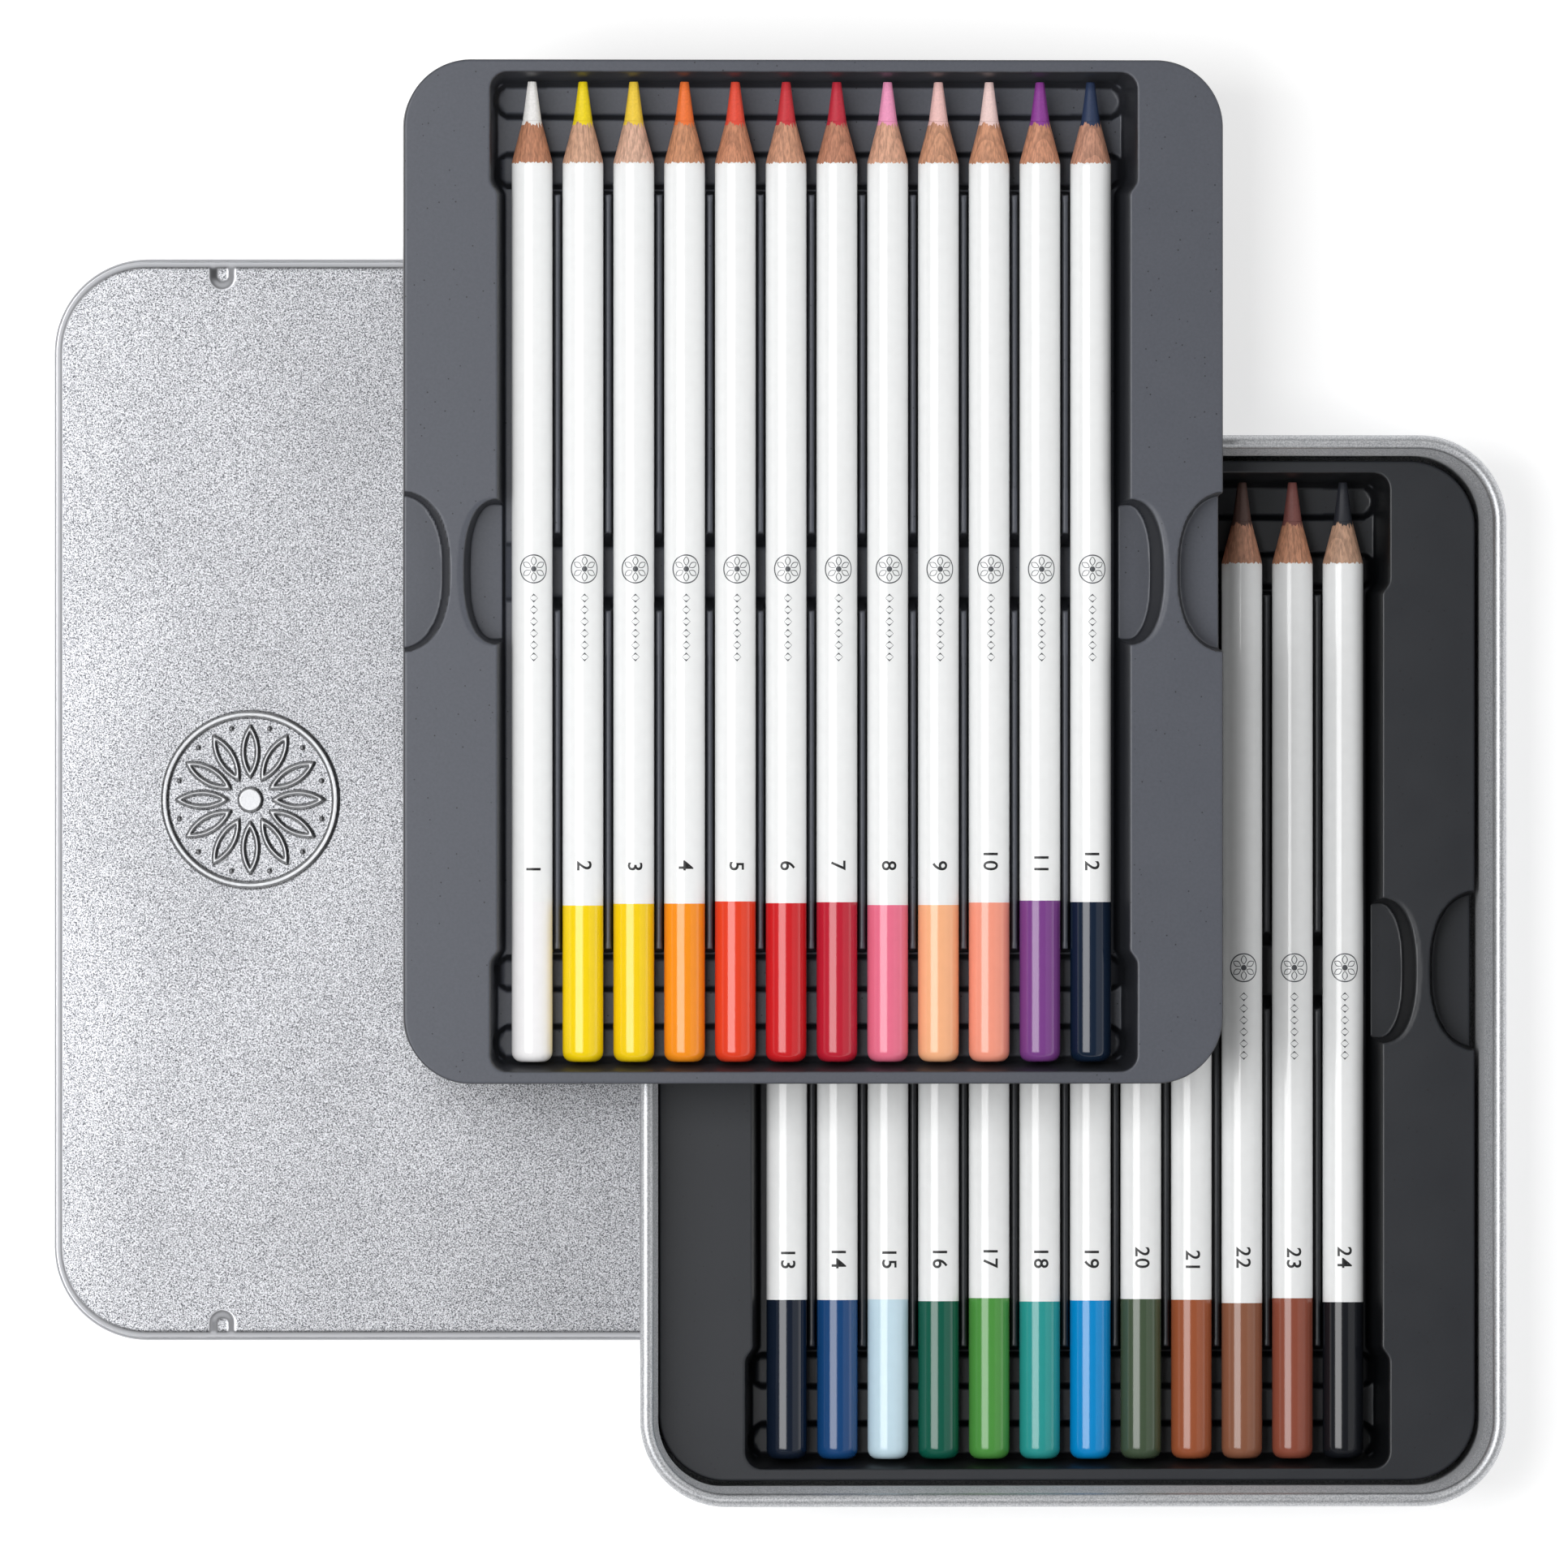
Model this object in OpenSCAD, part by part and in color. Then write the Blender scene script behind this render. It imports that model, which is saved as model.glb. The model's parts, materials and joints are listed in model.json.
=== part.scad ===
// A tin of twenty-four round coloured pencils, laid open. The lid lies flat, the tin leans on
// its edge with the lower tray inside, and the upper tray lies across the rim of the tin.
// Each tray is one formed plastic sheet with twelve pencils in it.

/* [Pencils] */
// Diameter of the painted barrel
pencil_d = 7.3; // [6.6:0.1:8]
// Length of a pencil, lead and dipped end included
pencil_l = 175; // [160:1:190]
// Diameter of the coloured lead
lead_d = 3.4; // [2.8:0.1:4]
// Diameter of the flat on the sharpened lead
tip_d = 1.55; // [0.8:0.05:2.2]
// Length of the lead that the sharpener laid bare
lead_l = 7; // [5:0.1:10]
// Length of the bare wood cone
cone_l = 7.5; // [6:0.1:10]
// Length of the coloured dip at the end
dip_l = 28.4; // [10:0.1:50]
// Rounding of the dipped end
end_r = 1.8; // [0.5:0.1:2.8]

/* [Trays] */
// Gap between the barrels of two neighbours
pencil_gap = 1.8; // [1.6:0.1:3]
// Gap between a barrel and the floor that it lies on
seat_gap = 0.1; // [0.05:0.05:0.3]
// Thickness of the formed sheet
sheet_t = 0.5; // [0.3:0.05:0.7]
// Height of a tray
tray_h = 11; // [10.5:0.25:14]
// Depth of the cross grooves below the floor
groove_d = 1.6; // [0.8:0.1:2]
// Height of the ribs between the pencils
rib_h = 3.8; // [2.5:0.1:4.5]
// Width of a rib at its foot
rib_foot = 3; // [2:0.1:3.1]
// Width of a rib at its crest
rib_crest = 1; // [0.6:0.1:1.2]
// How far a drafted wall leans out from floor to flange
wall_run = 1.7; // [0.8:0.1:2.2]
// Room between the outer pencils and the foot of the wall
side_room = 1.1; // [0.6:0.1:2]
// Gap between the end of a pencil and the wall, at the height of its axis
end_gap = 0.6; // [0.5:0.05:1.5]
// Width of the flange beside the pencils
side_flange = 16.85; // [15:0.05:20]
// Width of the flange past the ends of the pencils
end_flange = 2.3; // [1.6:0.05:5]
// Corner radius of a tray
tray_r = 12; // [8:0.5:14]
// How far the outer wall of a tray leans in from the flange to its foot
skirt_run = 0.65; // [0.2:0.05:1]
// Length of the wider recess round the points and round the dipped ends
recess_l = 20; // [19:0.25:24]
// How much wider the recess is than the well, on each side
recess_flare = 1.35; // [0.5:0.05:2]
// Corner radius at the foot of the recess
recess_r = 1; // [0.5:0.1:2]
// Width of a cross groove at its floor
groove_w = 4.8; // [4:0.1:5]
// How far the side of a groove leans out
groove_run = 1; // [0.4:0.1:1]
// Distance between the two grooves of a recess
groove_step = 12.4; // [12:0.1:13]
// Distance from the end wall to the middle of the outer groove
groove_in = 3.3; // [3:0.1:3.5]
// Width of the cross channel under the middle of the pencils, at its floor
channel_w = 9; // [6:0.1:12]
// How far the ends of the ribs lean back from the channel
channel_run = 2.55; // [1.5:0.05:3]

/* [Finger recesses] */
// How far the inner finger recess reaches from the well into the flange
pinch_w = 6.2; // [5:0.1:8]
// Length of the inner finger recess
pinch_l = 25.8; // [20:0.1:30]
// Depth of the inner finger recess
pinch_d = 7; // [5:0.1:8]
// How far its wall leans out
pinch_run = 1.6; // [0.8:0.1:2]
// How far the outer finger notch reaches in from the edge of the tray
notch_w = 8; // [6:0.1:9]
// How far outside the edge of the tray the middle of the notch's oval lies
notch_out = 1.4; // [0:0.1:3]
// Length of the oval of the outer finger notch
notch_l = 28.6; // [24:0.1:34]
// Depth of the outer finger notch
notch_d = 5.4; // [4:0.1:8]
// Roundness of the recesses in plan: 2 is an ellipse, and more is squarer
squareness = 2.4; // [2:0.1:4]

/* [Tin] */
// Thickness of the tinplate
plate_t = 0.3; // [0.2:0.02:0.4]
// Height of the tin without its lid
tin_h = 24.6; // [24:0.1:30]
// Gap between a tray and the wall of the tin
tray_gap = 2.05; // [1:0.05:4]
// Corner radius of the inside of the tin
tin_r = 13.2; // [10:0.1:16]
// Rounding where the wall meets the floor
foot_r = 2; // [1:0.1:3]
// Diameter of the rolled rim
rim_d = 2.4; // [1.8:0.1:3]
// Gap between the tray and what carries it
tray_seat = 0.3; // [0.1:0.05:0.5]

/* [Lid] */
// Height of the lid
lid_h = 8.4; // [7:0.1:10]
// Gap between the rim of the tin and the lid around it
lid_gap = 0.15; // [0.1:0.05:0.5]
// Rounding of the top edge
lid_edge_r = 1.2; // [0.8:0.1:2]
// Diameter of the rolled lower edge
lid_roll_d = 1; // [0.8:0.05:1.4]
// Width of a stop dimple
dimple_w = 4.4; // [3:0.1:6]
// How far a stop dimple reaches in from the edge
dimple_l = 4.7; // [3.5:0.1:7]
// Depth of a stop dimple
dimple_d = 1.2; // [0.6:0.1:1.8]
// Distance from the side of the lid to the middle of a dimple
dimple_in = 29.5; // [22:0.5:40]
// Diameter of the pressed emblem
emblem_d = 32; // [24:1:40]
// Height of the pressed emblem
emblem_h = 0.35; // [0.2:0.05:0.6]
// Distance from the left side of the lid to the middle of the emblem
emblem_in = 34.5; // [28:0.5:60]

/* [Layout] */
// Distance along the floor from the lid's edge that carries the tin to the tin's own foot
stand_off = 98.3; // [90:0.1:110]
// How far the lid lies behind the middle of the tin
lid_back = 30.6; // [25:0.1:40]
// How far the upper tray lies to the left of the middle of the tin
tray_left = 47.7; // [44:0.1:52]
// How far the upper tray lies behind the middle of the tin
tray_back = 71.3; // [64:0.5:76]
// Gap between the tin and the edge that it leans on
lean_gap = 0.05; // [0.02:0.01:0.2]

/* [Hidden] */
$fn = 48;
eps = 0.01;

// The pencils of each tray, left to right: a name and the colour of its lead and dip
UPPER = [["white", "#f2f1f3"], ["yellow", "#f4d30f"], ["gold", "#f5cf13"], ["orange", "#f7921e"],
    ["vermilion", "#e44125"], ["red", "#ce2228"], ["crimson", "#be2136"], ["pink", "#ea7491"],
    ["peach", "#f9b688"], ["salmon", "#f69c85"], ["violet", "#7a438c"], ["navy", "#112236"]];
LOWER = [["indigo", "#141e30"], ["blue", "#15467b"], ["ice", "#cce4ef"], ["pine", "#105a47"],
    ["leaf", "#519643"], ["teal", "#2d9a97"], ["sky", "#008cd0"], ["olive", "#485742"],
    ["rust", "#a05739"], ["umber", "#8d5c46"], ["sienna", "#914f3d"], ["black", "#181a21"]];

function to_hundredth(x) = round(100 * x) / 100;

// Pencils in a tray
per_tray = len(UPPER);
pitch = pencil_d + pencil_gap;
row_half = pitch * (per_tray - 1) / 2 + pencil_d / 2;

// Heights in a tray, from its own foot: the sheet under the grooves stays clear of the foot
foot_gap = 0.1;
groove_z = sheet_t + foot_gap;
floor_z = groove_z + groove_d;
axis_z = floor_z + seat_gap + pencil_d / 2;
rib_z = floor_z + rib_h;
pinch_z = tray_h - pinch_d;
notch_z = tray_h - notch_d;

// How far the ribs end short of a recess
rib_back = 1.2;

// Half sizes of a tray: feet of the walls, then the edges in the flange, then the outside
well_foot = row_half + side_room;
well_edge = well_foot + wall_run;
wall_lean = wall_run / (tray_h - floor_z);
end_foot = to_hundredth(pencil_l / 2 + end_gap - wall_lean * (axis_z - floor_z));
end_edge = end_foot + wall_run;
tray_half_w = well_edge + side_flange;
tray_half_l = end_edge + end_flange;
recess_edge = well_edge + recess_flare;
rib_end = end_edge - recess_l - rib_back;

// How far the well reaches into the recesses, and how far the grooves and the channel end
// short of the walls
well_reach = 4;
groove_short = 0.5;
channel_short = 0.8;

// Half sizes of the tin: inside, outside of the wall, outside of the rim
tin_in_w = tray_half_w + tray_gap;
tin_in_l = tray_half_l + tray_gap;
tin_out_w = tin_in_w + plate_t;
tin_out_l = tin_in_l + plate_t;
rim_out_w = tin_in_w + rim_d;
rim_out_l = tin_in_l + rim_d;
rim_r = tin_r + rim_d;

// Half sizes of the lid: outside of the skirt, and how far the rolled edge stands out past it
lid_out_w = rim_out_w + lid_gap + plate_t;
lid_out_l = rim_out_l + lid_gap + plate_t;
lid_r = rim_r + lid_gap + plate_t;
lid_over = lid_roll_d - plate_t;

// How far the wall of the tin or of the lid runs on into its flat sheet
floor_lap = 1;

// The tin leans with its floor on the rounded edge of the lid and its foot on the ground
lean_rise = lid_h - lid_edge_r - foot_r;
lean_reach = sqrt(stand_off * stand_off + lean_rise * lean_rise);
lean = atan2(lean_rise, stand_off) + asin((foot_r + lid_edge_r + lean_gap) / lean_reach);
foot_x = tin_out_w - foot_r;
// Places in the floor plan, with the middle of the whole layout at the origin
lid_to_foot = lid_out_w - lid_edge_r + stand_off;
rim_reach = rim_d / 2 + (rim_out_w - rim_d / 2 - foot_x) * cos(lean)
    + (tin_h - rim_d / 2 - foot_r) * sin(lean);
lid_x = (lid_out_w + lid_over - lid_to_foot - rim_reach) / 2;
tin_x = lid_x + lid_to_foot - foot_x * cos(lean) - foot_r * sin(lean);
tin_z = foot_r + foot_x * sin(lean) - foot_r * cos(lean);
back_edge = max(tray_back + tray_half_l, lid_back + lid_out_l + lid_over);
tin_y = (rim_out_l - back_edge) / 2;

// Puts a piece that is drawn in the tin's own frame on the slope
module on_slope() {
    translate([tin_x, tin_y, tin_z]) rotate([0, lean, 0]) children();
}

// A flat rectangle with round corners, given by its half sizes
module rounded(half_w, half_l, r) {
    square([2 * half_w, 2 * (half_l - r)], center = true);
    square([2 * (half_w - r), 2 * half_l], center = true);
    for (x = [-1, 1], y = [-1, 1]) translate([x * (half_w - r), y * (half_l - r)]) circle(r);
}

// Carries a profile round a rectangle with round corners: x points out and y points up
module round_frame(half_w, half_l, r) {
    for (s = [0, 180]) {
        rotate(s) translate([half_w, 0, 0]) rotate([90, 0, 0])
            linear_extrude(2 * (half_l - r), center = true) children();
        rotate(s + 90) translate([half_l, 0, 0]) rotate([90, 0, 0])
            linear_extrude(2 * (half_w - r), center = true) children();
    }
    for (i = [0:3]) {
        corner = [i == 0 || i == 3 ? 1 : -1, i < 2 ? 1 : -1];
        translate([corner[0] * (half_w - r), corner[1] * (half_l - r), 0]) rotate(90 * i)
            rotate_extrude(angle = 90) translate([r, 0]) children();
    }
}

// A quarter of a ring in a profile, from pointing right to pointing up or down
module quarter_ring(r, t, up) {
    difference() {
        circle(r);
        circle(r - t);
        translate([-2 * r, -2 * r]) square([2 * r, 4 * r]);
        translate([-2 * r, up ? -2 * r : 0]) square([4 * r, 2 * r]);
    }
}

// The wall of the tin: a rounded foot, a straight wall and an open curl turned outwards
module tin_profile() {
    slit = 0.4;
    translate([-floor_lap, 0]) square([floor_lap, plate_t]);
    translate([0, foot_r]) quarter_ring(foot_r, plate_t, false);
    translate([foot_r - plate_t, foot_r]) square([plate_t, tin_h - rim_d / 2 - foot_r]);
    translate([foot_r - plate_t + rim_d / 2, tin_h - rim_d / 2]) difference() {
        circle(rim_d / 2);
        circle(rim_d / 2 - plate_t);
        translate([-rim_d / 2 + plate_t, -rim_d]) square([slit, rim_d]);
    }
}

module base_tin() {
    path_w = tin_out_w - foot_r;
    path_l = tin_out_l - foot_r;
    path_r = tin_r + plate_t - foot_r;
    color("#c9cacb") on_slope() {
        linear_extrude(plate_t) rounded(path_w, path_l, path_r);
        round_frame(path_w, path_l, path_r) tin_profile();
    }
}

// The wall of the lid: a rounded top edge, a skirt and a small curl turned outwards
module lid_profile() {
    slit = lid_roll_d / 4;
    translate([-floor_lap, lid_h - plate_t]) square([floor_lap, plate_t]);
    translate([0, lid_h - lid_edge_r]) quarter_ring(lid_edge_r, plate_t, true);
    translate([lid_edge_r - plate_t, lid_roll_d / 2])
        square([plate_t, lid_h - lid_edge_r - lid_roll_d / 2]);
    translate([lid_edge_r + lid_roll_d / 2 - plate_t, lid_roll_d / 2]) difference() {
        circle(lid_roll_d / 2);
        circle(lid_roll_d / 2 - plate_t * 0.8);
        translate([plate_t - lid_roll_d / 2, 0]) square([slit, lid_roll_d]);
    }
}

// A stop dimple, grown by g: a slot with a round end that runs out past the edge of the lid
module dimple(g) {
    end = lid_out_l - dimple_l + dimple_w / 2;
    translate([0, 0, lid_h - dimple_d - g]) linear_extrude(2 * dimple_d) {
        translate([0, end]) circle(dimple_w / 2 + g);
        translate([-dimple_w / 2 - g, end]) square([dimple_w + 2 * g, dimple_l]);
    }
}

// The lid filled solid beside a dimple, with its rounded top edge
module edge_block() {
    low = lid_h - lid_edge_r;
    rotate([90, 0, 90]) linear_extrude(2 * dimple_w, center = true) {
        square([lid_out_l - lid_edge_r, lid_h]);
        square([lid_out_l, low]);
        translate([lid_out_l - lid_edge_r, low]) circle(lid_edge_r);
    }
}

// Draws its children at the four dimples
module at_dimples() {
    for (x = [-1, 1], s = [0, 180]) rotate(s) translate([x * (lid_out_w - dimple_in), 0, 0]) children();
}

// A plain pressed rosette: a ring round twelve petals and an eye
module emblem() {
    band = emblem_d / 24;
    petal_half = emblem_d * 0.155;
    petal_bulge = emblem_d * 0.045;
    arc_r = (petal_half * petal_half + petal_bulge * petal_bulge) / (2 * petal_bulge);
    linear_extrude(emblem_h) {
        difference() {
            circle(emblem_d / 2);
            circle(emblem_d / 2 - band);
        }
        circle(emblem_d / 14);
        for (a = [0:30:330]) rotate(a) translate([0, emblem_d * 0.27]) intersection() {
            translate([arc_r - petal_bulge, 0]) circle(arc_r);
            translate([petal_bulge - arc_r, 0]) circle(arc_r);
        }
    }
}

module lid() {
    path_w = lid_out_w - lid_edge_r;
    path_l = lid_out_l - lid_edge_r;
    path_r = lid_r - lid_edge_r;
    color("#b9babc") translate([lid_x, tin_y + lid_back, 0]) {
        difference() {
            union() {
                translate([0, 0, lid_h - plate_t]) linear_extrude(plate_t) rounded(path_w, path_l, path_r);
                round_frame(path_w, path_l, path_r) lid_profile();
                at_dimples() intersection() {
                    edge_block();
                    dimple(plate_t);
                }
            }
            at_dimples() dimple(0);
        }
        translate([emblem_in - lid_out_w, 0, lid_h - eps]) emblem();
    }
}

// A pocket whose walls lean out: its foot at z0 has the half sizes given, and it ends at z1
module drafted(half_w, half_l, r, z0, z1, run) {
    for (x = [-1, 1], y = [-1, 1]) translate([x * (half_w - r), y * (half_l - r), z0])
        cylinder(r1 = r, r2 = r + run, h = z1 - z0);
    trench(half_w, half_l - r, z0, z1, run);
    rotate(90) trench(half_l, half_w - r, z0, z1, run);
}

// A trench along Y whose sides lean out
module trench(half_w, half_l, z0, z1, run) {
    rotate([90, 0, 0]) linear_extrude(2 * half_l, center = true)
        polygon([[-half_w, z0], [half_w, z0], [half_w + run, z1], [-half_w - run, z1]]);
}

// A trench along X with round ends
module groove(half_l, w, z0, z1, run) {
    rotate(90) trench(w / 2, half_l - w / 2, z0, z1, run);
    for (x = [-1, 1]) translate([x * (half_l - w / 2), 0, z0])
        cylinder(r1 = w / 2, r2 = w / 2 + run, h = z1 - z0);
}

// The plan of a finger recess: an oval, squarer than an ellipse
module oval(half_w, half_l) {
    p = 2 / squareness;
    polygon([for (a = [7.5:15:352.5])
        [half_w * sign(cos(a)) * pow(abs(cos(a)), p), half_l * sign(sin(a)) * pow(abs(sin(a)), p)]]);
}

// The recess for a finger and thumb beside the pencils, grown by g
module pinch_recess(g, top) {
    hull() {
        translate([0, 0, pinch_z - g]) linear_extrude(eps)
            oval(pinch_w - pinch_run + g, pinch_l / 2 - pinch_run / 2 + g);
        translate([0, 0, top - eps]) linear_extrude(eps) oval(pinch_w + g, pinch_l / 2 + g);
    }
}

// Everything that is hollow in the top of a tray, grown by g into the sheet
module tray_hollow(g, top) {
    recess_half = recess_l / 2 - wall_run;
    groove_half = recess_edge - wall_run - groove_short;
    drafted(well_foot + g, rib_end + well_reach, recess_r, floor_z - g, top, wall_run);
    for (s = [0, 180]) rotate(s) {
        translate([0, end_foot - recess_half, 0])
            drafted(recess_edge - wall_run + g, recess_half + g, recess_r + g, floor_z - g, top, wall_run);
        for (k = [0, 1]) translate([0, end_foot - groove_in - k * groove_step, 0])
            groove(groove_half + g, groove_w + 2 * g, groove_z - g, floor_z + eps, groove_run);
        translate([well_edge, 0, 0]) pinch_recess(g, top);
    }
}

// Draws the profile of a rib along each rib: two rows, with the cross channel between them
module along_ribs(short) {
    gap = channel_w / 2 + channel_run;
    for (i = [1:per_tray - 1], s = [-1, 1])
        translate([(i - per_tray / 2) * pitch, s * (gap + rib_end) / 2, floor_z])
            rotate([90, 0, 0]) linear_extrude(rib_end - gap - 2 * short, center = true) children();
}

// The outside of a rib: sloped sides and a chamfered crest
module rib_profile() {
    side = rib_foot / 2;
    crest = rib_crest / 2;
    chamfer = rib_crest / 4;
    polygon([[-side, -eps], [side, -eps], [crest, rib_h - chamfer], [crest - chamfer, rib_h],
        [chamfer - crest, rib_h], [-crest, rib_h - chamfer]]);
}

// The hollow that the sheet leaves under a rib
module rib_hollow() {
    side = rib_foot / 2 - sheet_t;
    crest = rib_crest / 4;
    polygon([[-side, -sheet_t - eps], [side, -sheet_t - eps], [crest, rib_h - sheet_t],
        [-crest, rib_h - sheet_t]]);
}

// The plan of the two notches in the outer edges
module notches(g) {
    for (s = [-1, 1]) translate([s * (tray_half_w + notch_out), 0])
        oval(notch_w + notch_out + g, notch_l / 2 + g);
}

// The outside of a tray, shrunk by g: it leans out from the foot to the flange
module tray_block(g) {
    top = tray_h - g;
    in = skirt_run + g;
    drafted(tray_half_w - in, tray_half_l - in, tray_r - in, g > 0 ? -eps : 0, top, skirt_run * top / tray_h);
}

module tray() {
    difference() {
        union() {
            difference() {
                tray_block(0);
                tray_block(sheet_t);
            }
            tray_hollow(sheet_t, tray_h);
            intersection() {
                tray_block(0);
                translate([0, 0, notch_z - sheet_t]) linear_extrude(tray_h) notches(sheet_t);
            }
            rotate(90)
                trench(channel_w / 2 + sheet_t, well_foot, groove_z - sheet_t, floor_z, channel_run / 2);
        }
        difference() {
            tray_hollow(0, tray_h + eps);
            along_ribs(0) rib_profile();
        }
        rotate(90) trench(channel_w / 2, well_foot - channel_short, groove_z, rib_z + eps, channel_run);
        translate([0, 0, notch_z]) linear_extrude(tray_h) notches(0);
        along_ribs(sheet_t) rib_hollow();
    }
}

module lower_tray() {
    color("#3c4048") on_slope() translate([0, 0, plate_t + tray_seat]) tray();
}

module upper_tray() {
    color("#5c6068") on_slope() translate([-tray_left, tray_back, tin_h + tray_seat]) tray();
}

// Puts a pencil that is drawn along Z, point up, in its place in a tray
module in_tray(i, is_upper) {
    place = is_upper ? [-tray_left, tray_back, tin_h + tray_seat] : [0, 0, plate_t + tray_seat];
    on_slope() translate(place)
        translate([(i - (per_tray - 1) / 2) * pitch, -pencil_l / 2, axis_z]) rotate([-90, 0, 0]) children();
}

// Heights along a pencil, from its dipped end
lead_foot = pencil_l - lead_l;
wood_foot = lead_foot - cone_l;

// The wooden casing: bare cone, white barrel and coloured dip
module casing(tint) {
    difference() {
        union() {
            color("#c99b7d") translate([0, 0, wood_foot])
                cylinder(r1 = pencil_d / 2, r2 = lead_d / 2, h = cone_l);
            color("white") translate([0, 0, dip_l]) cylinder(r = pencil_d / 2, h = wood_foot - dip_l);
            color(tint) {
                translate([0, 0, end_r]) cylinder(r = pencil_d / 2, h = dip_l - end_r);
                rotate_extrude() {
                    square([pencil_d / 2 - end_r, end_r]);
                    translate([pencil_d / 2 - end_r, end_r]) quarter_foot(end_r);
                }
            }
        }
        translate([0, 0, end_r]) cylinder(r = lead_d / 2, h = pencil_l);
    }
}

// The round quarter at the edge of a pencil's end
module quarter_foot(r) {
    intersection() {
        circle(r);
        translate([0, -r]) square(r);
    }
}

// The coloured lead, sharpened to a flat tip
module core(tint) {
    color(tint) {
        translate([0, 0, end_r]) cylinder(r = lead_d / 2, h = lead_foot - end_r);
        translate([0, 0, lead_foot]) cylinder(r1 = lead_d / 2, r2 = tip_d / 2, h = lead_l);
    }
}

base_tin();
lid();
lower_tray();
upper_tray();
for (up = [true, false], i = [0:per_tray - 1]) {
    pencil = up ? UPPER[i] : LOWER[i];
    in_tray(i, up) casing(pencil[1]);
    in_tray(i, up) core(pencil[1]);
}
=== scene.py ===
import json
import math
import random

import bmesh
import bpy
import numpy as np
from mathutils import Matrix, Vector


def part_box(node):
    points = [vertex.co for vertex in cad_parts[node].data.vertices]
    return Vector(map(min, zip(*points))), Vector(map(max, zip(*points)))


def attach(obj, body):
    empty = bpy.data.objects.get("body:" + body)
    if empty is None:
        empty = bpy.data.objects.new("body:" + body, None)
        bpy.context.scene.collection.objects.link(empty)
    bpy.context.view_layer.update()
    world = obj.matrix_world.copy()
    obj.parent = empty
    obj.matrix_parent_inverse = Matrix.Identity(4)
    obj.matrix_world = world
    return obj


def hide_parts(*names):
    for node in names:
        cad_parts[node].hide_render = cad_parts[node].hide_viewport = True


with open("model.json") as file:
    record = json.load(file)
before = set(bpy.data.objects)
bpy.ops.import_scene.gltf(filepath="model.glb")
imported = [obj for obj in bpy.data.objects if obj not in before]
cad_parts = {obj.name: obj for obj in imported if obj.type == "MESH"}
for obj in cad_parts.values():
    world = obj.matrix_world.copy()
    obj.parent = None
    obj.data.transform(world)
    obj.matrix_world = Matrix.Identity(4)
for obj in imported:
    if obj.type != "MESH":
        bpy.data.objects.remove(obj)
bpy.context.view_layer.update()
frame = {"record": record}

scene = bpy.context.scene
MM = 0.001

# The camera looks straight down on the open tin, as the photograph does. It stands far off with
# a long lens, because both trays are equally large in the photograph.
photo_width, camera_aside = 280.4 * MM, 0.8 * MM
camera_height, pencil_height = 8.0, 0.030
film_width = 36
camera_data = bpy.data.cameras.new("camera")
camera_data.sensor_width = film_width
camera_data.lens = film_width * (camera_height - pencil_height) / photo_width
camera_data.clip_end = 50
camera = bpy.data.objects.new("camera", camera_data)
camera.location = (camera_aside, 0, camera_height)
scene.collection.objects.link(camera)
scene.camera = camera
scene.view_settings.view_transform = "Standard"

# The softbox hangs over the left of the tin and gives each barrel its long highlight. A dim
# panel leans over the right, and gives the barrels their second, faint and wide one.
def hang_softbox(name, place, turn, width, length, radiance):
    """A lamp as wide and long as a softbox, turned about Y. Radiance 1 shows as white."""
    data = bpy.data.lights.new(name, "AREA")
    data.shape = "RECTANGLE"
    data.size, data.size_y = width, length
    data.energy = radiance * math.pi * width * length
    lamp = bpy.data.objects.new(name, data)
    lamp.location = place
    lamp.rotation_euler = (0, turn, 0)
    lamp.visible_camera = False
    scene.collection.objects.link(lamp)


hang_softbox("softbox", place=(-0.43, 0, 0.92), turn=0, width=0.78, length=0.54, radiance=6.1)
hang_softbox("side_panel", place=(1.175, 0, 0.73), turn=math.radians(63), width=1.42, length=2.4,
    radiance=0.5)

# Pale studio walls: white near the horizon, higher up in front and behind, and dark overhead.
# As a source of light they are even and faint.
def linear(code, strength=1.0):
    """A hex sRGB colour as a linear one."""
    parts = [int(code[i:i + 2], 16) / 255 for i in (1, 3, 5)]
    parts = [p / 12.92 if p <= 0.04045 else ((p + 0.055) / 1.055) ** 2.4 for p in parts]
    return (*[p * strength for p in parts], 1)


def add_node(tree, kind, settings=None, links=None):
    """Adds a node: settings go to its sockets or, by attribute name, to the node itself."""
    made = tree.nodes.new(kind)
    for key, value in (settings or {}).items():
        if isinstance(key, str) and hasattr(made, key):
            setattr(made, key, value)
        else:
            made.inputs[key].default_value = value
    for key, source in (links or {}).items():
        tree.links.new(source, made.inputs[key])
    return made


world = bpy.data.worlds.new("studio")
scene.world = world
world.use_nodes = True
tree = world.node_tree
tree.nodes.clear()
path = add_node(tree, "ShaderNodeLightPath")
place = add_node(tree, "ShaderNodeTexCoord")
height = add_node(tree, "ShaderNodeSeparateXYZ", links={0: place.outputs["Generated"]})
ahead = add_node(tree, "ShaderNodeMath", {"operation": "MULTIPLY"},
    {0: height.outputs["Y"], 1: height.outputs["Y"]})
above = add_node(tree, "ShaderNodeMath", {"operation": "MULTIPLY_ADD", 1: -0.6},
    {0: ahead.outputs[0], 2: height.outputs["Z"]})
wall = add_node(tree, "ShaderNodeMapRange", {"interpolation_type": "SMOOTHSTEP", "From Min": 0.22,
    "From Max": 0.42, "To Min": 1.0, "To Max": 0.14}, {"Value": above.outputs[0]})
strength = add_node(tree, "ShaderNodeMix", {3: 0.32},
    {0: path.outputs["Is Diffuse Ray"], 2: wall.outputs[0]})
glow = add_node(tree, "ShaderNodeBackground", {"Color": linear("#ffffff")},
    {"Strength": strength.outputs[0]})
add_node(tree, "ShaderNodeOutputWorld", links={"Surface": glow.outputs[0]})


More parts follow.
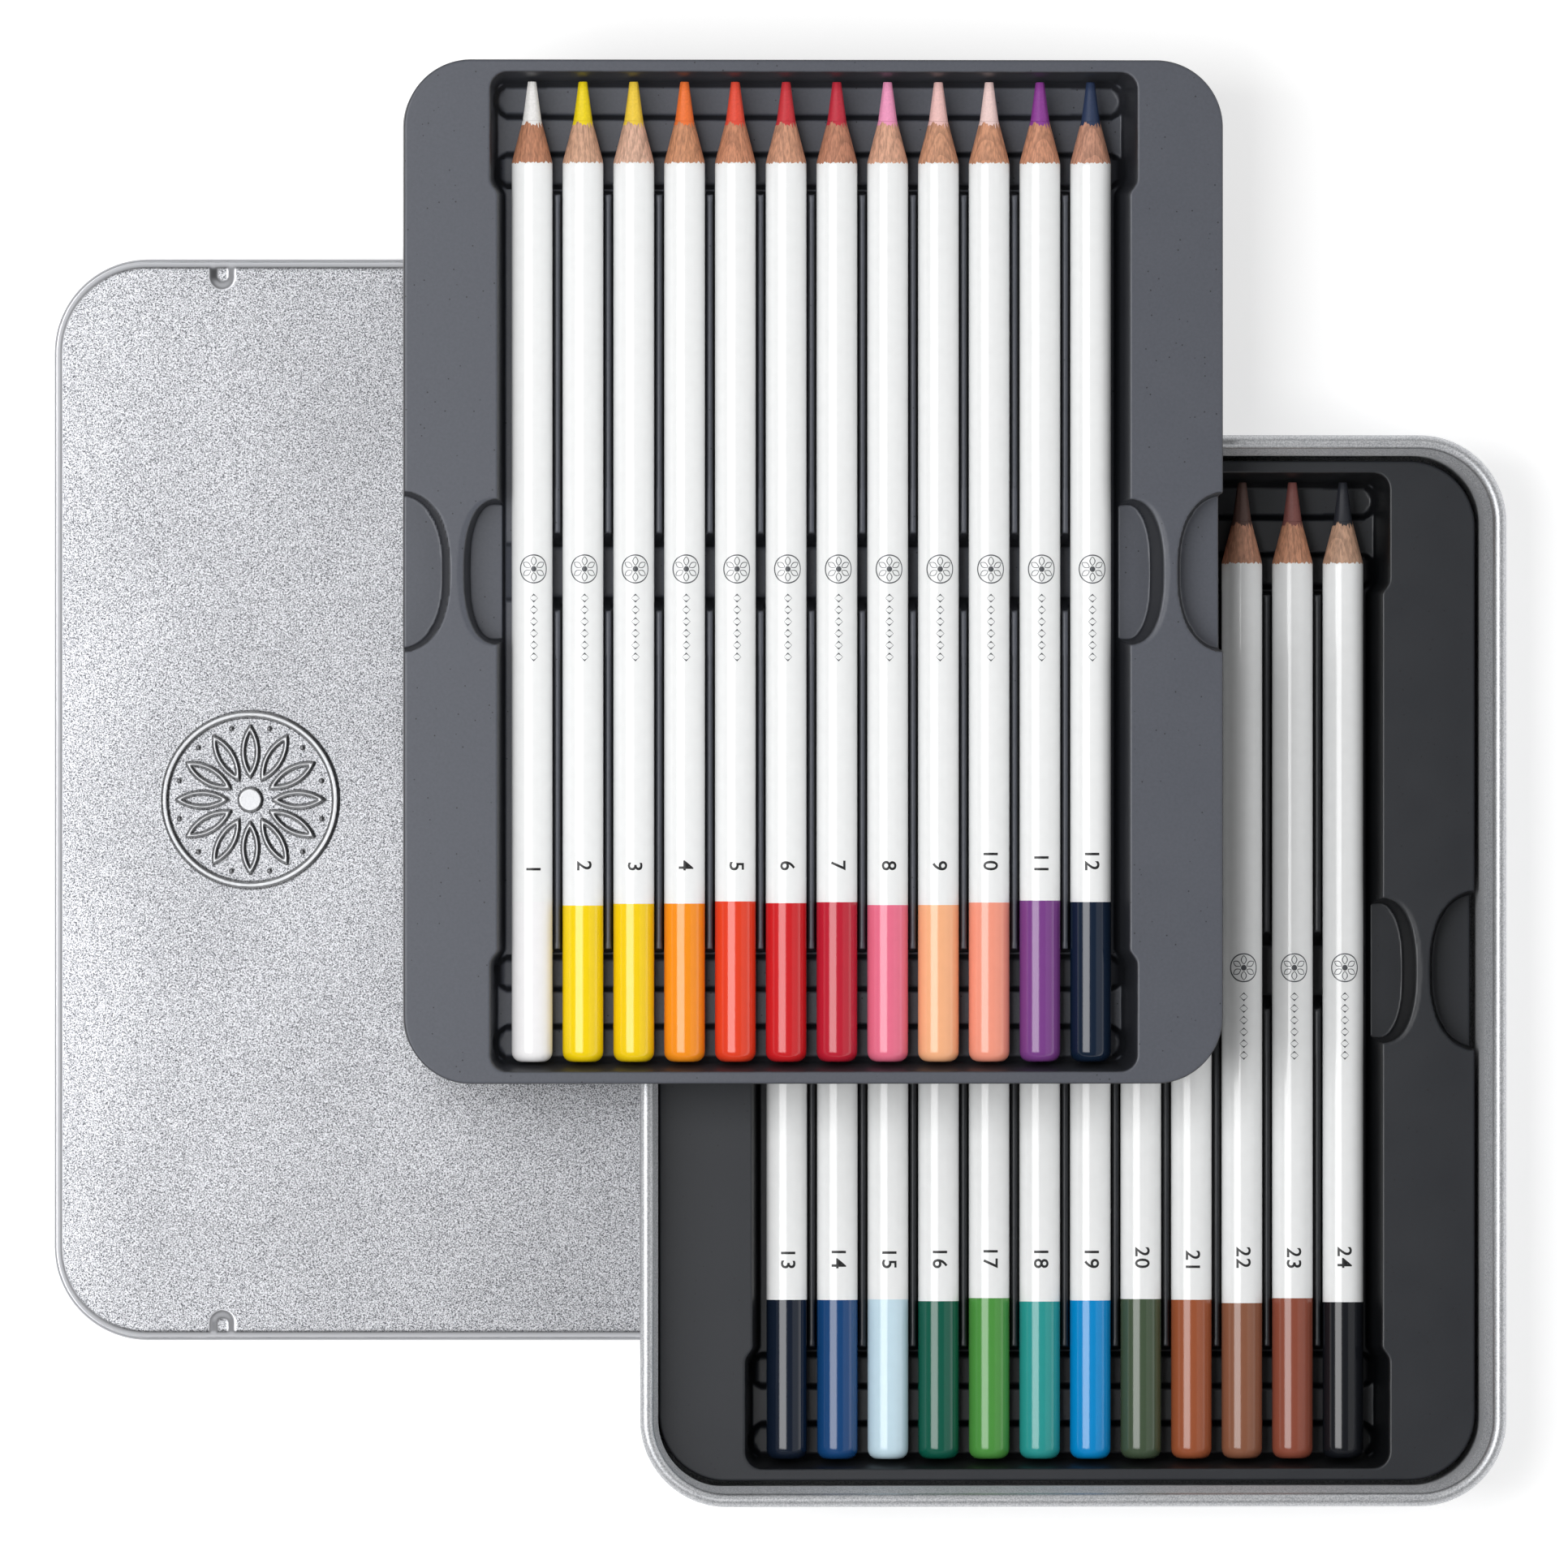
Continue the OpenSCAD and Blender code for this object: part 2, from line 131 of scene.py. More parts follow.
def start_material(name, **settings):
    """A new material, with its node tree, its shader and the piece's own coordinates."""
    made = bpy.data.materials.new(name)
    made.use_nodes = True
    tree = made.node_tree
    shader = tree.nodes["Principled BSDF"]
    for key, value in settings.items():
        shader.inputs[key.replace("_", " ")].default_value = value
    return made, tree, shader, add_node(tree, "ShaderNodeTexCoord").outputs["Object"]


# The floor is seamless white card. It shows white to the camera and in gloss, and it keeps the
# soft shadow under the tin.
floor_size, floor_drop, floor_glow = 14, 0.2 * MM, 0.52
bpy.ops.mesh.primitive_plane_add(size=floor_size, location=(0, 0, -floor_drop))
floor = bpy.context.object
floor.name = "floor"
card, tree, shader, _ = start_material("white_card", Base_Color=linear("#e0e0e0"), Roughness=0.8)
shader.inputs["Specular IOR Level"].default_value = 0.2
path = add_node(tree, "ShaderNodeLightPath")
sight = add_node(tree, "ShaderNodeMath", {"operation": "MAXIMUM"},
    {0: path.outputs["Is Camera Ray"], 1: path.outputs["Is Glossy Ray"]})
sight = add_node(tree, "ShaderNodeMath", {"operation": "MAXIMUM"},
    {0: sight.outputs[0], 1: path.outputs["Is Transmission Ray"]})
lift = add_node(tree, "ShaderNodeMath", {"operation": "MULTIPLY", 1: floor_glow},
    {0: sight.outputs[0]})
shader.inputs["Emission Color"].default_value = linear("#ffffff")
tree.links.new(lift.outputs[0], shader.inputs["Emission Strength"])
floor.data.materials.append(card)


# The lid is drawn from one sheet of tinplate. Its top edge is rounded, its lower edge is rolled
# outwards, and four stop dimples and a plain rosette are pressed into it before sandblasting.
def smooth(s):
    """From 0 to 1 with a round start and end."""
    s = np.clip(s, 0, 1)
    return s * s * (3 - 2 * s)


def grid_lines(half, *parts):
    """Lines from -half to half: each part (start, end, step) is repeated on both sides."""
    closest = 0.03
    marks = {0.0, half}
    for start, end, step in parts:
        count = max(2, round((end - start) / step) + 1)
        marks |= set(np.round(np.linspace(start, end, count), 4))
    marks = sorted(m for m in marks if 0 <= m <= half)
    kept = [marks[0]]
    for m in marks[1:]:
        if m - kept[-1] > closest:
            kept.append(m)
    kept[-1] = half
    return np.array([-m for m in kept[:0:-1]] + kept)


def pressed_sheet(xs, ys, half_w, half_l, corner_r, over, under, edge, floor_ring=None):
    """A sheet pressed over a rectangle with round corners. over and under give the heights of
    its two skins, edge the way round its rim from one skin to the other, and floor_ring how
    far the outermost line of the upper skin moves outwards."""
    x, y = (g.copy() for g in np.meshgrid(xs, ys, indexing="ij"))
    in_w, in_l = half_w - corner_r, half_l - corner_r
    u, v = (np.abs(x) - in_w) / corner_r, (np.abs(y) - in_l) / corner_r
    corner = (u > 0) & (v > 0)
    far = np.maximum(u, v)[corner]
    turn = np.where(u >= v, v / np.where(u == 0, 1, u), 2 - u / np.where(v == 0, 1, v))[corner]
    turn = turn * math.pi / 4
    x[corner] = np.sign(x[corner]) * (in_w + corner_r * far * np.cos(turn))
    y[corner] = np.sign(y[corner]) * (in_l + corner_r * far * np.sin(turn))
    n_x, n_y = x.shape
    ids = np.arange(n_x * n_y).reshape(n_x, n_y)
    ring = np.concatenate([ids[:-1, 0], ids[-1, :-1], ids[:0:-1, -1], ids[0, :0:-1]])
    flat_x, flat_y = x.ravel(), y.ravel()
    ring_x, ring_y = flat_x[ring].copy(), flat_y[ring].copy()
    out_x = ring_x - np.clip(ring_x, -in_w, in_w)
    out_y = ring_y - np.clip(ring_y, -in_l, in_l)
    size = np.hypot(out_x, out_y)
    out_x, out_y = out_x / size, out_y / size
    top, low = over(flat_x, flat_y), under(flat_x, flat_y)
    if floor_ring is not None:
        shift = floor_ring(top[ring])
        flat_x[ring] += out_x * shift
        flat_y[ring] += out_y * shift
    rows = [np.stack([ring_x + out_x * d, ring_y + out_y * d, z], -1) for d, z in edge(top[ring])]
    points = [np.stack([flat_x, flat_y, top], -1)] + rows + [np.stack([flat_x, flat_y, low], -1)]
    base = n_x * n_y
    loops = [ring] + [base + len(ring) * k + np.arange(len(ring)) for k in range(len(rows))]
    low_base = base + len(ring) * len(rows)
    loops.append(ring + low_base)
    cells = np.stack([ids[:-1, :-1], ids[1:, :-1], ids[1:, 1:], ids[:-1, 1:]], -1).reshape(-1, 4)
    faces = [cells, cells[:, ::-1] + low_base]
    for a, b in zip(loops[:-1], loops[1:]):
        faces.append(np.stack([a, b, np.roll(b, -1), np.roll(a, -1)], -1))
    mesh = bpy.data.meshes.new("sheet")
    mesh.from_pydata((np.concatenate(points) * MM).tolist(), [], np.concatenate(faces).tolist())
    mesh.shade_smooth()
    return mesh


def show(name, mesh, finishes, body, matrix, replaced=()):
    """Puts a mesh in its place as a piece, with its finishes, on its body, and hides the parts it
    replaces.
    """
    piece = bpy.data.objects.new(name, mesh)
    scene.collection.objects.link(piece)
    for finish in finishes:
        mesh.materials.append(finish)
    piece.matrix_world = matrix
    if replaced:
        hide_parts(*replaced)
    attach(piece, body)
    return piece


def even_normals(piece):
    """Keeps the large flat faces of a sheet flat in its shading."""
    piece.modifiers.new("even_normals", "WEIGHTED_NORMAL").weight = 50


plate_t = 0.3
lid_low, lid_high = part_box("lid")
lid_place = Matrix.Translation(((lid_low.x + lid_high.x) / 2, (lid_low.y + lid_high.y) / 2, 0))
lid_h, lid_edge_r, roll_d, roll_out = 8.4, 1.2, 1.0, 0.7
skirt_foot, roll_tuck = 1.12, 0.9
lid_half_w = (lid_high.x - lid_low.x) / 2 / MM - roll_out - lid_edge_r
lid_half_l = (lid_high.y - lid_low.y) / 2 / MM - roll_out - lid_edge_r
lid_outer_r, emblem_in, dimple_in = 16.05, 34.5, 29.5
lid_corner_r = lid_outer_r - lid_edge_r
emblem_x, emblem_r, emblem_rise, emblem_run = emblem_in - lid_half_w - lid_edge_r, 16.0, 0.35, 0.3
ring_half, eye_r, bead_r, bead_away = 0.67, 2.29, 0.42, 13.2
petals, petal_away, petal_half, petal_bulge, petal_line = 12, 8.64, 4.96, 1.75, 0.95
dimple_x = lid_half_w + lid_edge_r - dimple_in
dimple_reach, dimple_r, dimple_d, dimple_run, dimple_lip = 4.7, 2.3, 0.75, 1.7, 0.15
lid_crown, shoulder_w, shoulder_drop = 0.35, 16.0, 0.42


def rosette(x, y):
    """How far inside the lines of the rosette a point is: a ring, twelve petals, an eye in the
    middle and twelve beads."""
    away, turn = np.hypot(x, y), np.arctan2(y, x)
    ring = ring_half - np.abs(away - (emblem_r - ring_half))
    step = 2 * math.pi / petals
    turn = (turn + step / 2) % step - step / 2
    along, across = away * np.cos(turn) - petal_away, away * np.sin(turn)
    arc_r = (petal_half ** 2 + petal_bulge ** 2) / (2 * petal_bulge)
    petal = arc_r - np.hypot(along, np.abs(across) + arc_r - petal_bulge)
    turn = turn - np.sign(turn) * step / 2
    bead = bead_r - np.hypot(away * np.cos(turn) - bead_away, away * np.sin(turn))
    return np.maximum.reduce([ring, np.minimum(petal, petal_line - petal), eye_r - away, bead])


def lid_top(x, y):
    """The height of the lid's upper skin, a little crowned across its width."""
    rise = emblem_rise * smooth(rosette(x - emblem_x, y) / emblem_run)
    inward = lid_half_l + lid_edge_r - np.abs(y)
    away = np.hypot(np.abs(x) - dimple_x, np.maximum(inward - dimple_reach + dimple_r, 0))
    crown = -lid_crown * (x / lid_half_w) ** 2
    near = (np.abs(x) - lid_half_w) / shoulder_w + 1
    crown = crown - shoulder_drop * np.maximum(near, 0) ** 2
    return lid_h + crown + rise - dimple_d * smooth((dimple_r + dimple_lip - away) / dimple_run)


def lid_edge(top):
    """The lid's edge in steps out from the sheet and up from the ground: round the shoulder,
    down the skirt, round the roll and up the inside."""
    rows = []
    for a in (15, 30, 45, 60, 75, 90):
        a = math.radians(a)
        rows.append((lid_edge_r * math.sin(a), top - lid_edge_r * (1 - math.cos(a))))
    shoulder = top - lid_edge_r
    for part in (0.93, 0.6, 0.3, 0.06, 0.0):
        rows.append((lid_edge_r, skirt_foot + (shoulder - skirt_foot) * part))
    roll_x, roll_r = lid_edge_r + roll_out - roll_d / 2, roll_d / 2
    for a in range(130, -190, -20):
        a = math.radians(a)
        rows.append((roll_x + roll_r * math.cos(a), roll_r + roll_r * math.sin(a) + 0 * top))
    inner = lid_edge_r - plate_t
    for part in (0.08, 0.5, 0.94, 1.0):
        rows.append((inner, roll_tuck + (shoulder - roll_tuck) * part))
    for a in (60, 30):
        a = math.radians(a)
        rows.append((inner * math.sin(a), shoulder + inner * math.cos(a)))
    return rows


# The grid's lines stand far apart on the plain sheet and close together where it bends.
plain_step, border_w, border_step, corner_step = 5, 8, 1, 1.35
emblem_step, past, dimple_step, dimple_band, dimple_l = 0.2, 1.2, 0.26, 3.2, 4.8
lid_xs = grid_lines(lid_half_w, (0, lid_half_w, plain_step),
    (lid_half_w - border_w, lid_half_w, border_step),
    (lid_half_w - lid_corner_r, lid_half_w, corner_step),
    (dimple_x - dimple_band, dimple_x + dimple_band, dimple_step))
emblem_xs = np.arange(emblem_x - emblem_r - past, emblem_x + emblem_r + past, emblem_step)
lid_xs = lid_xs[(lid_xs < emblem_xs[0] - 0.1) | (lid_xs > emblem_xs[-1] + 0.1)]
lid_xs = np.sort(np.concatenate([lid_xs, emblem_xs]))
lid_ys = grid_lines(lid_half_l, (0, lid_half_l, plain_step), (0, emblem_r + past, emblem_step),
    (lid_half_l - lid_corner_r, lid_half_l, corner_step), (lid_half_l - dimple_l, lid_half_l, 0.3))
lid_mesh = pressed_sheet(lid_xs, lid_ys, lid_half_w, lid_half_l, lid_corner_r, lid_top,
    lambda x, y: lid_top(x, y) - plate_t, lid_edge)

# Sandblasted tinplate: steel under a skin of tin, blasted with fine grit, so that it glitters in
# grey and white grains. The grit is about 0.1 mm and is drawn at 0.25 mm to show. The tops of the
# raised lines are painted lighter, a painted highlight. The rounded edge and the skirt are a plain
# lighter grey, a painted highlight, and so are the slopes of the dimples, as painted light against
# their shade. The gloss drifts over 26 mm, and the flat sheet is faintly wavy over 60 mm.
grit_size, drift_size, wave_size = 0.25, 26, 60
top_highlight_from, top_highlight_to = lid_h + 0.04, lid_h + 0.18
edge_highlight_from, edge_highlight_to = lid_corner_r + 0.2, lid_corner_r + 0.5
slope_middle, slope_half = 1.65, 0.85
# Along the planes of its own lattice a noise loses contrast, so grain lies askew to the sheet.
askew = (0.6, 0.5, 0.3)


def per_mm(size):
    """The scale of a pattern in metres whose features are size millimetres apart."""
    return 1 / (size * MM)


blasted, tree, shader, place = start_material("sandblasted_tinplate", Metallic=1.0, Roughness=0.38)
turned_place = add_node(tree, "ShaderNodeMapping", {"Rotation": askew}, {"Vector": place})
grit = add_node(tree, "ShaderNodeTexNoise", {"Scale": per_mm(grit_size), "Detail": 2.0,
    "Roughness": 0.7}, {"Vector": turned_place.outputs[0]})
cloud = add_node(tree, "ShaderNodeTexNoise", {"Scale": per_mm(drift_size), "Detail": 2.0},
    {"Vector": place})
grain = add_node(tree, "ShaderNodeValToRGB", links={"Fac": grit.outputs["Fac"]})
for stop, at, grey in zip(grain.color_ramp.elements, (0.36, 0.62), ("#36373b", "#a2a3a6")):
    stop.position, stop.color = at, linear(grey)
height = add_node(tree, "ShaderNodeSeparateXYZ", links={0: place})
# Painted highlight: the tops of the raised lines are mixed towards a lighter grey.
painted_top_highlight = add_node(tree, "ShaderNodeMapRange", {"From Min": top_highlight_from * MM,
    "From Max": top_highlight_to * MM, "To Max": 0.9}, {"Value": height.outputs["Z"]})
skin = add_node(tree, "ShaderNodeMix", {"data_type": "RGBA", 7: linear("#98999b")},
    {0: painted_top_highlight.outputs[0], 6: grain.outputs["Color"]})
# Painted light: the slopes of the dimples, where shade falls, are mixed towards a plain lighter
# grey.
quarter = add_node(tree, "ShaderNodeVectorMath", {"operation": "ABSOLUTE"}, {0: place})
painted_dimple_light = add_node(tree, "ShaderNodeVectorMath", {"operation": "SUBTRACT",
    1: (dimple_x * MM, (lid_half_l + lid_edge_r - dimple_reach + dimple_r) * MM, 0)},
    {0: quarter.outputs[0]})
painted_dimple_light = add_node(tree, "ShaderNodeVectorMath", {"operation": "MINIMUM", 1: (1, 0, 0)},
    {0: painted_dimple_light.outputs[0]})
painted_dimple_light = add_node(tree, "ShaderNodeVectorMath", {"operation": "LENGTH"}, {0: painted_dimple_light.outputs[0]})
painted_dimple_light = add_node(tree, "ShaderNodeMath", {"operation": "COMPARE", 1: slope_middle * MM,
    2: slope_half * MM}, {0: painted_dimple_light.outputs["Value"]})
# Painted highlight: the rounded edge, the skirt and the roll are mixed towards the same lighter
# grey.
reach = add_node(tree, "ShaderNodeVectorMath", {"operation": "SUBTRACT",
    1: ((lid_half_w - lid_corner_r) * MM, (lid_half_l - lid_corner_r) * MM, 1)},
    {0: quarter.outputs[0]})
reach = add_node(tree, "ShaderNodeVectorMath", {"operation": "MAXIMUM", 1: (0, 0, 0)},
    {0: reach.outputs[0]})
reach = add_node(tree, "ShaderNodeVectorMath", {"operation": "LENGTH"}, {0: reach.outputs[0]})
painted_edge_light = add_node(tree, "ShaderNodeMapRange", {"From Min": edge_highlight_from * MM,
    "From Max": edge_highlight_to * MM}, {"Value": reach.outputs["Value"]})
painted_edge_light = add_node(tree, "ShaderNodeMath", {"operation": "MAXIMUM"},
    {0: painted_edge_light.outputs[0], 1: painted_dimple_light.outputs[0]})
# The plain grey #b2b3b7 is painted highlight on the edge and painted light on the dimple slopes.
skin = add_node(tree, "ShaderNodeMix", {"data_type": "RGBA", 7: linear("#b2b3b7")},
    {0: painted_edge_light.outputs[0], 6: skin.outputs[2]})
tree.links.new(skin.outputs[2], shader.inputs["Base Color"])
dull = add_node(tree, "ShaderNodeMapRange", {"To Min": 0.33, "To Max": 0.41},
    {"Value": cloud.outputs["Fac"]})
tree.links.new(dull.outputs[0], shader.inputs["Roughness"])
waves = add_node(tree, "ShaderNodeTexNoise", {"Scale": per_mm(wave_size), "Detail": 1.0},
    {"Vector": place})
wavy = add_node(tree, "ShaderNodeBump", {"Strength": 1.0, "Distance": 0.5 * MM},
    {"Height": waves.outputs["Fac"]})
bump = add_node(tree, "ShaderNodeBump", {"Strength": 0.35, "Distance": 0.05 * MM},
    {"Height": grit.outputs["Fac"], "Normal": wavy.outputs[0]})
tree.links.new(bump.outputs[0], shader.inputs["Normal"])
lid_shell = show("lid_shell", lid_mesh, [blasted], "lid", lid_place, ["lid"])
even_normals(lid_shell)

# The tin is drawn from one sheet of tinplate, with a rounded foot. Its wall is necked in below
# the rim, which is curled outwards. It leans on the edge of the lid, and so do the trays on it.
mounts = {m["name"]: m for m in frame["record"]["mounts"]}
slope_axis = -Vector(mounts["tin_floor"]["axis"]).normalized()
lean = math.atan2(slope_axis.x, slope_axis.z)
slope = Matrix.Translation(Vector(mounts["tin_floor"]["pos_m"])) @ Matrix.Rotation(lean, 4, "Y")
tin_in_w, tin_in_l, tin_in_r, tin_h, foot_r, rim_r = 75.4, 93.43, 13.2, 24.6, 2.0, 1.2
neck, neck_z, neck_top, neck_top_out, rim_foot = 1.2, 19.4, 22.6, 22.4, 22.9
floor_half_w, floor_half_l = tin_in_w + plate_t - foot_r - neck, tin_in_l + plate_t - foot_r - neck
wall_in = foot_r - plate_t


def tin_floor(x, y):
    """The height of the tin's inner floor, which is plain."""
    return plate_t + 0 * x


def tin_edge(top):
    """The tin's wall in steps out from the floor and up: up the inside over the foot and the
    neck, round the curl, and down the outside."""
    rows, still = [], 0 * top
    for a in (15, 30, 45, 60, 75, 90):
        a = math.radians(a)
        rows.append((wall_in * math.sin(a), foot_r - wall_in * math.cos(a) + still))
    for z in (2.4, 8, 16, neck_z - 0.4):
        rows.append((wall_in, z + still))
    for part in (0.04, 0.5, 0.96):
        rows.append((wall_in + neck * part, neck_z + (neck_top - neck_z) * part + still))
    rows.append((wall_in + neck, rim_foot + still))
    crest = wall_in + neck + rim_r
    for a in range(180, -165, -12):
        a = math.radians(a)
        rows.append((crest + rim_r * math.cos(a), tin_h - rim_r + rim_r * math.sin(a) + still))
    tuck = rim_r - plate_t
    for a in range(-160, 120, 20):
        a = math.radians(a)
        rows.append((crest + tuck * math.cos(a), tin_h - rim_r + tuck * math.sin(a) + still))
    for z in (tin_h - 0.6, tin_h - 1.4, neck_top_out):
        rows.append((foot_r + neck, z + still))
    for part in (0.96, 0.5, 0.04):
        rows.append((foot_r + neck * part, neck_z + (neck_top_out - neck_z) * part + still))
    for z in (neck_z - 0.4, 16, 8, 2.4):
        rows.append((foot_r, z + still))
    for a in (90, 72, 54, 36, 18):
        a = math.radians(a)
        rows.append((foot_r * math.sin(a), foot_r - foot_r * math.cos(a) + still))
    return rows


tin_r = tin_in_r + plate_t - foot_r - neck
plain_step, corner_step = 6, 0.9
tin_xs = grid_lines(floor_half_w, (0, floor_half_w, plain_step),
    (floor_half_w - tin_r, floor_half_w, corner_step))
tin_ys = grid_lines(floor_half_l, (0, floor_half_l, plain_step),
    (floor_half_l - tin_r, floor_half_l, corner_step))
tin_mesh = pressed_sheet(tin_xs, tin_ys, floor_half_w, floor_half_l, tin_r, tin_floor,
    lambda x, y: 0 * x, tin_edge)

# Rolled tinplate: its walls keep the matt grey of the tin bath, and the curling tool polishes
# the rim. The pits that the eye sees as grain are drawn at 0.28 mm, coarser than they are.
pit_size, polished_from, polished_to = 0.28, 22.6, 23.2
rolled, tree, shader, place = start_material("rolled_tinplate", Metallic=1.0, Roughness=0.3)
turned_place = add_node(tree, "ShaderNodeMapping", {"Rotation": askew}, {"Vector": place})
pits = add_node(tree, "ShaderNodeTexNoise", {"Scale": per_mm(pit_size), "Detail": 2.0},
    {"Vector": turned_place.outputs[0]})
tone = add_node(tree, "ShaderNodeValToRGB", links={"Fac": pits.outputs["Fac"]})
for stop, at, grey in zip(tone.color_ramp.elements, (0.35, 0.62), ("#aaacb0", "#d0d1d3")):
    stop.position, stop.color = at, linear(grey)
tree.links.new(tone.outputs["Color"], shader.inputs["Base Color"])
dull = add_node(tree, "ShaderNodeMapRange", {"To Min": 0.4, "To Max": 0.56},
    {"Value": pits.outputs["Fac"]})
height = add_node(tree, "ShaderNodeSeparateXYZ", links={0: place})
rim = add_node(tree, "ShaderNodeMapRange", {"From Min": polished_from * MM,
    "From Max": polished_to * MM}, {"Value": height.outputs["Z"]})
gloss = add_node(tree, "ShaderNodeMix", {2: 0.82}, {0: rim.outputs[0], 3: dull.outputs[0]})
tree.links.new(gloss.outputs[0], shader.inputs["Roughness"])
bump = add_node(tree, "ShaderNodeBump", {"Strength": 0.25, "Distance": 0.04 * MM},
    {"Height": pits.outputs["Fac"]})
tree.links.new(bump.outputs[0], shader.inputs["Normal"])
tin_shell = show("tin_shell", tin_mesh, [rolled], "tin", slope, ["base_tin"])
even_normals(tin_shell)

# The trays are thin polystyrene sheet, vacuum-formed over a mould: a flange, a drafted well with
# a wider recess at each end, cross grooves, split ribs, finger recesses and two side notches.
pitch, barrel_r, pencil_l = 9.1, 3.65, 175.0
sheet_t, tray_h, floor_z, groove_z, rib_h, axis_z = 0.5, 11.0, 2.2, 0.6, 3.8, 5.95
tray_half_w, tray_half_l, tray_r, skirt_run = 73.35, 91.38, 12.0, 0.65
well_foot, wall_run, flare, end_foot = 54.8, 1.7, 1.35, 87.38
recess_start, rib_end, channel_half, channel_run, channel_reach = 68.6, 67.88, 4.5, 2.55, 47.5
pinch_w, pinch_l, pinch_run, pinch_z = 6.2, 25.8, 1.6, 4.0
notch_w, notch_out, notch_l, notch_run, notch_z = 8.0, 1.4, 28.6, 0.5, 5.6
groove_half, groove_w, groove_step, groove_in = 55.65, 4.8, 12.4, 3.3
groove_slope, groove_run, groove_steep, oval_steep, channel_rise = 1.6, 1.1, 8, 4, 5.4
rib_half, rib_run, rib_end_run, ribs_beside = 1.5, 1.0, 0.5, 5
well_corner_r, flare_run, brim, lip_r = 1.2, 2.8, 0.55, 0.36


def bent(s, ease):
    """A ramp that starts at 0 with a round bend."""
    return np.where(s < -ease, 0, np.where(s > ease, s, (s + ease) ** 2 / (4 * ease)))


def ramp(s, ease=0.16):
    """From 0 to 1 with a round bend at both ends."""
    return bent(s, ease) - bent(s - 1, ease)


def lower_of(a, b, ease=0.35):
    """The lower of two surfaces, with a fillet where they meet."""
    near = np.clip(0.5 + (a - b) / (2 * ease), 0, 1)
    return a + (b - a) * near - ease * near * (1 - near)


def oval_wall(x, y, foot, edge, power=2.4):
    """From 0 at the foot of an oval wall to 1 at its edge; both are half sizes."""
    inner = (np.abs(x / foot[0]) ** power + np.abs(y / foot[1]) ** power) ** (1 / power)
    outer = (np.abs(x / edge[0]) ** power + np.abs(y / edge[1]) ** power) ** (1 / power)
    return (inner - 1) / np.maximum(inner - outer, 1e-6)


def tray_top(x, y):
    """The height of a tray's upper skin. Each formed shape is a surface of its own that rises
    steeply past its wall, and the sheet follows the lowest of them."""
    ax, ay = np.abs(x), np.abs(y)
    foot = well_foot + flare * smooth((ay - recess_start + flare_run / 2) / flare_run)
    qx, qy = ax - foot + well_corner_r, ay - end_foot + well_corner_r
    wall = np.hypot(np.maximum(qx, 0), np.maximum(qy, 0)) + np.minimum(np.maximum(qx, qy), 0)
    wall = wall - well_corner_r
    z = floor_z + (tray_h - floor_z) * ramp(wall / wall_run, 0.2)
    rib = np.clip(np.round(x / pitch), -ribs_beside, ribs_beside) * pitch
    rise = ramp((rib_half - np.abs(x - rib)) / rib_run, 0.14)
    rise = rise * ramp((rib_end - ay) / rib_end_run, 0.3)
    z = np.maximum(z, floor_z + rib_h * rise)
    for k in range(2):
        side = np.hypot(np.maximum(ax - groove_half + groove_w / 2, 0), ay - end_foot + groove_in
                        + k * groove_step) - groove_w / 2
        groove = groove_z + groove_slope * bent(side, 0.25)
        z = lower_of(z, groove + groove_steep * np.maximum(side - groove_run, 0), 0.12)
    pinch = oval_wall(ax - well_foot - wall_run, y,
        (pinch_w - pinch_run, (pinch_l - pinch_run) / 2), (pinch_w, pinch_l / 2))
    pinch_wall = pinch_z + (tray_h - pinch_z) * ramp(pinch, 0.14)
    z = lower_of(z, pinch_wall + oval_steep * np.maximum(pinch - 1.3, 0))
    side = np.hypot(np.maximum(ax - channel_reach, 0), ay) - channel_half
    z = lower_of(z, groove_z + channel_rise * bent(side / channel_run, 0.16), 0.2)
    notch_reach = notch_w + notch_out
    notch = oval_wall(ax - tray_half_w - notch_out, y,
        (notch_reach - notch_run, notch_l / 2 - notch_run), (notch_reach, notch_l / 2))
    notch_wall = notch_z + (tray_h - notch_z) * ramp(notch, 0.26)
    return np.minimum(z, notch_wall + oval_steep * np.maximum(notch - 1.4, 0))


def tray_under(x, y):
    """The lower skin: everywhere a sheet's thickness below the upper one."""
    low = tray_top(x, y) - sheet_t
    for away in (0.5, 0.87, 1.0):
        for k in range(12):
            turn = math.radians(30 * k)
            reach = sheet_t * away
            other = tray_top(x + reach * math.cos(turn), y + reach * math.sin(turn))
            low = np.minimum(low, other - math.sqrt(max(sheet_t ** 2 - reach ** 2, 0)))
    return np.maximum(low, 0.0)


def skirt_in(z):
    """How far the drafted skirt stands back at a height."""
    return -skirt_run * (1 - z / tray_h)


def tray_edge(top):
    """The tray's skirt in steps out from the sheet and up: round the lip, down and up again."""
    rows, radius = [], np.minimum(lip_r, 0.4 * top)
    lip = brim + skirt_in(top)
    for a in (0, 30, 60, 90):
        a = math.radians(a)
        rows.append((lip - radius * (1 - math.sin(a)), top - radius * (1 - math.cos(a))))
    for part in (0.97, 0.6, 0.25, 0.0):
        z = (top - radius) * part
        rows.append((brim + skirt_in(z), z))
    for part in (0.0, 0.25, 0.6, 1.0):
        z = (top - sheet_t) * part
        rows.append((brim - sheet_t + skirt_in(z), z))
    return rows


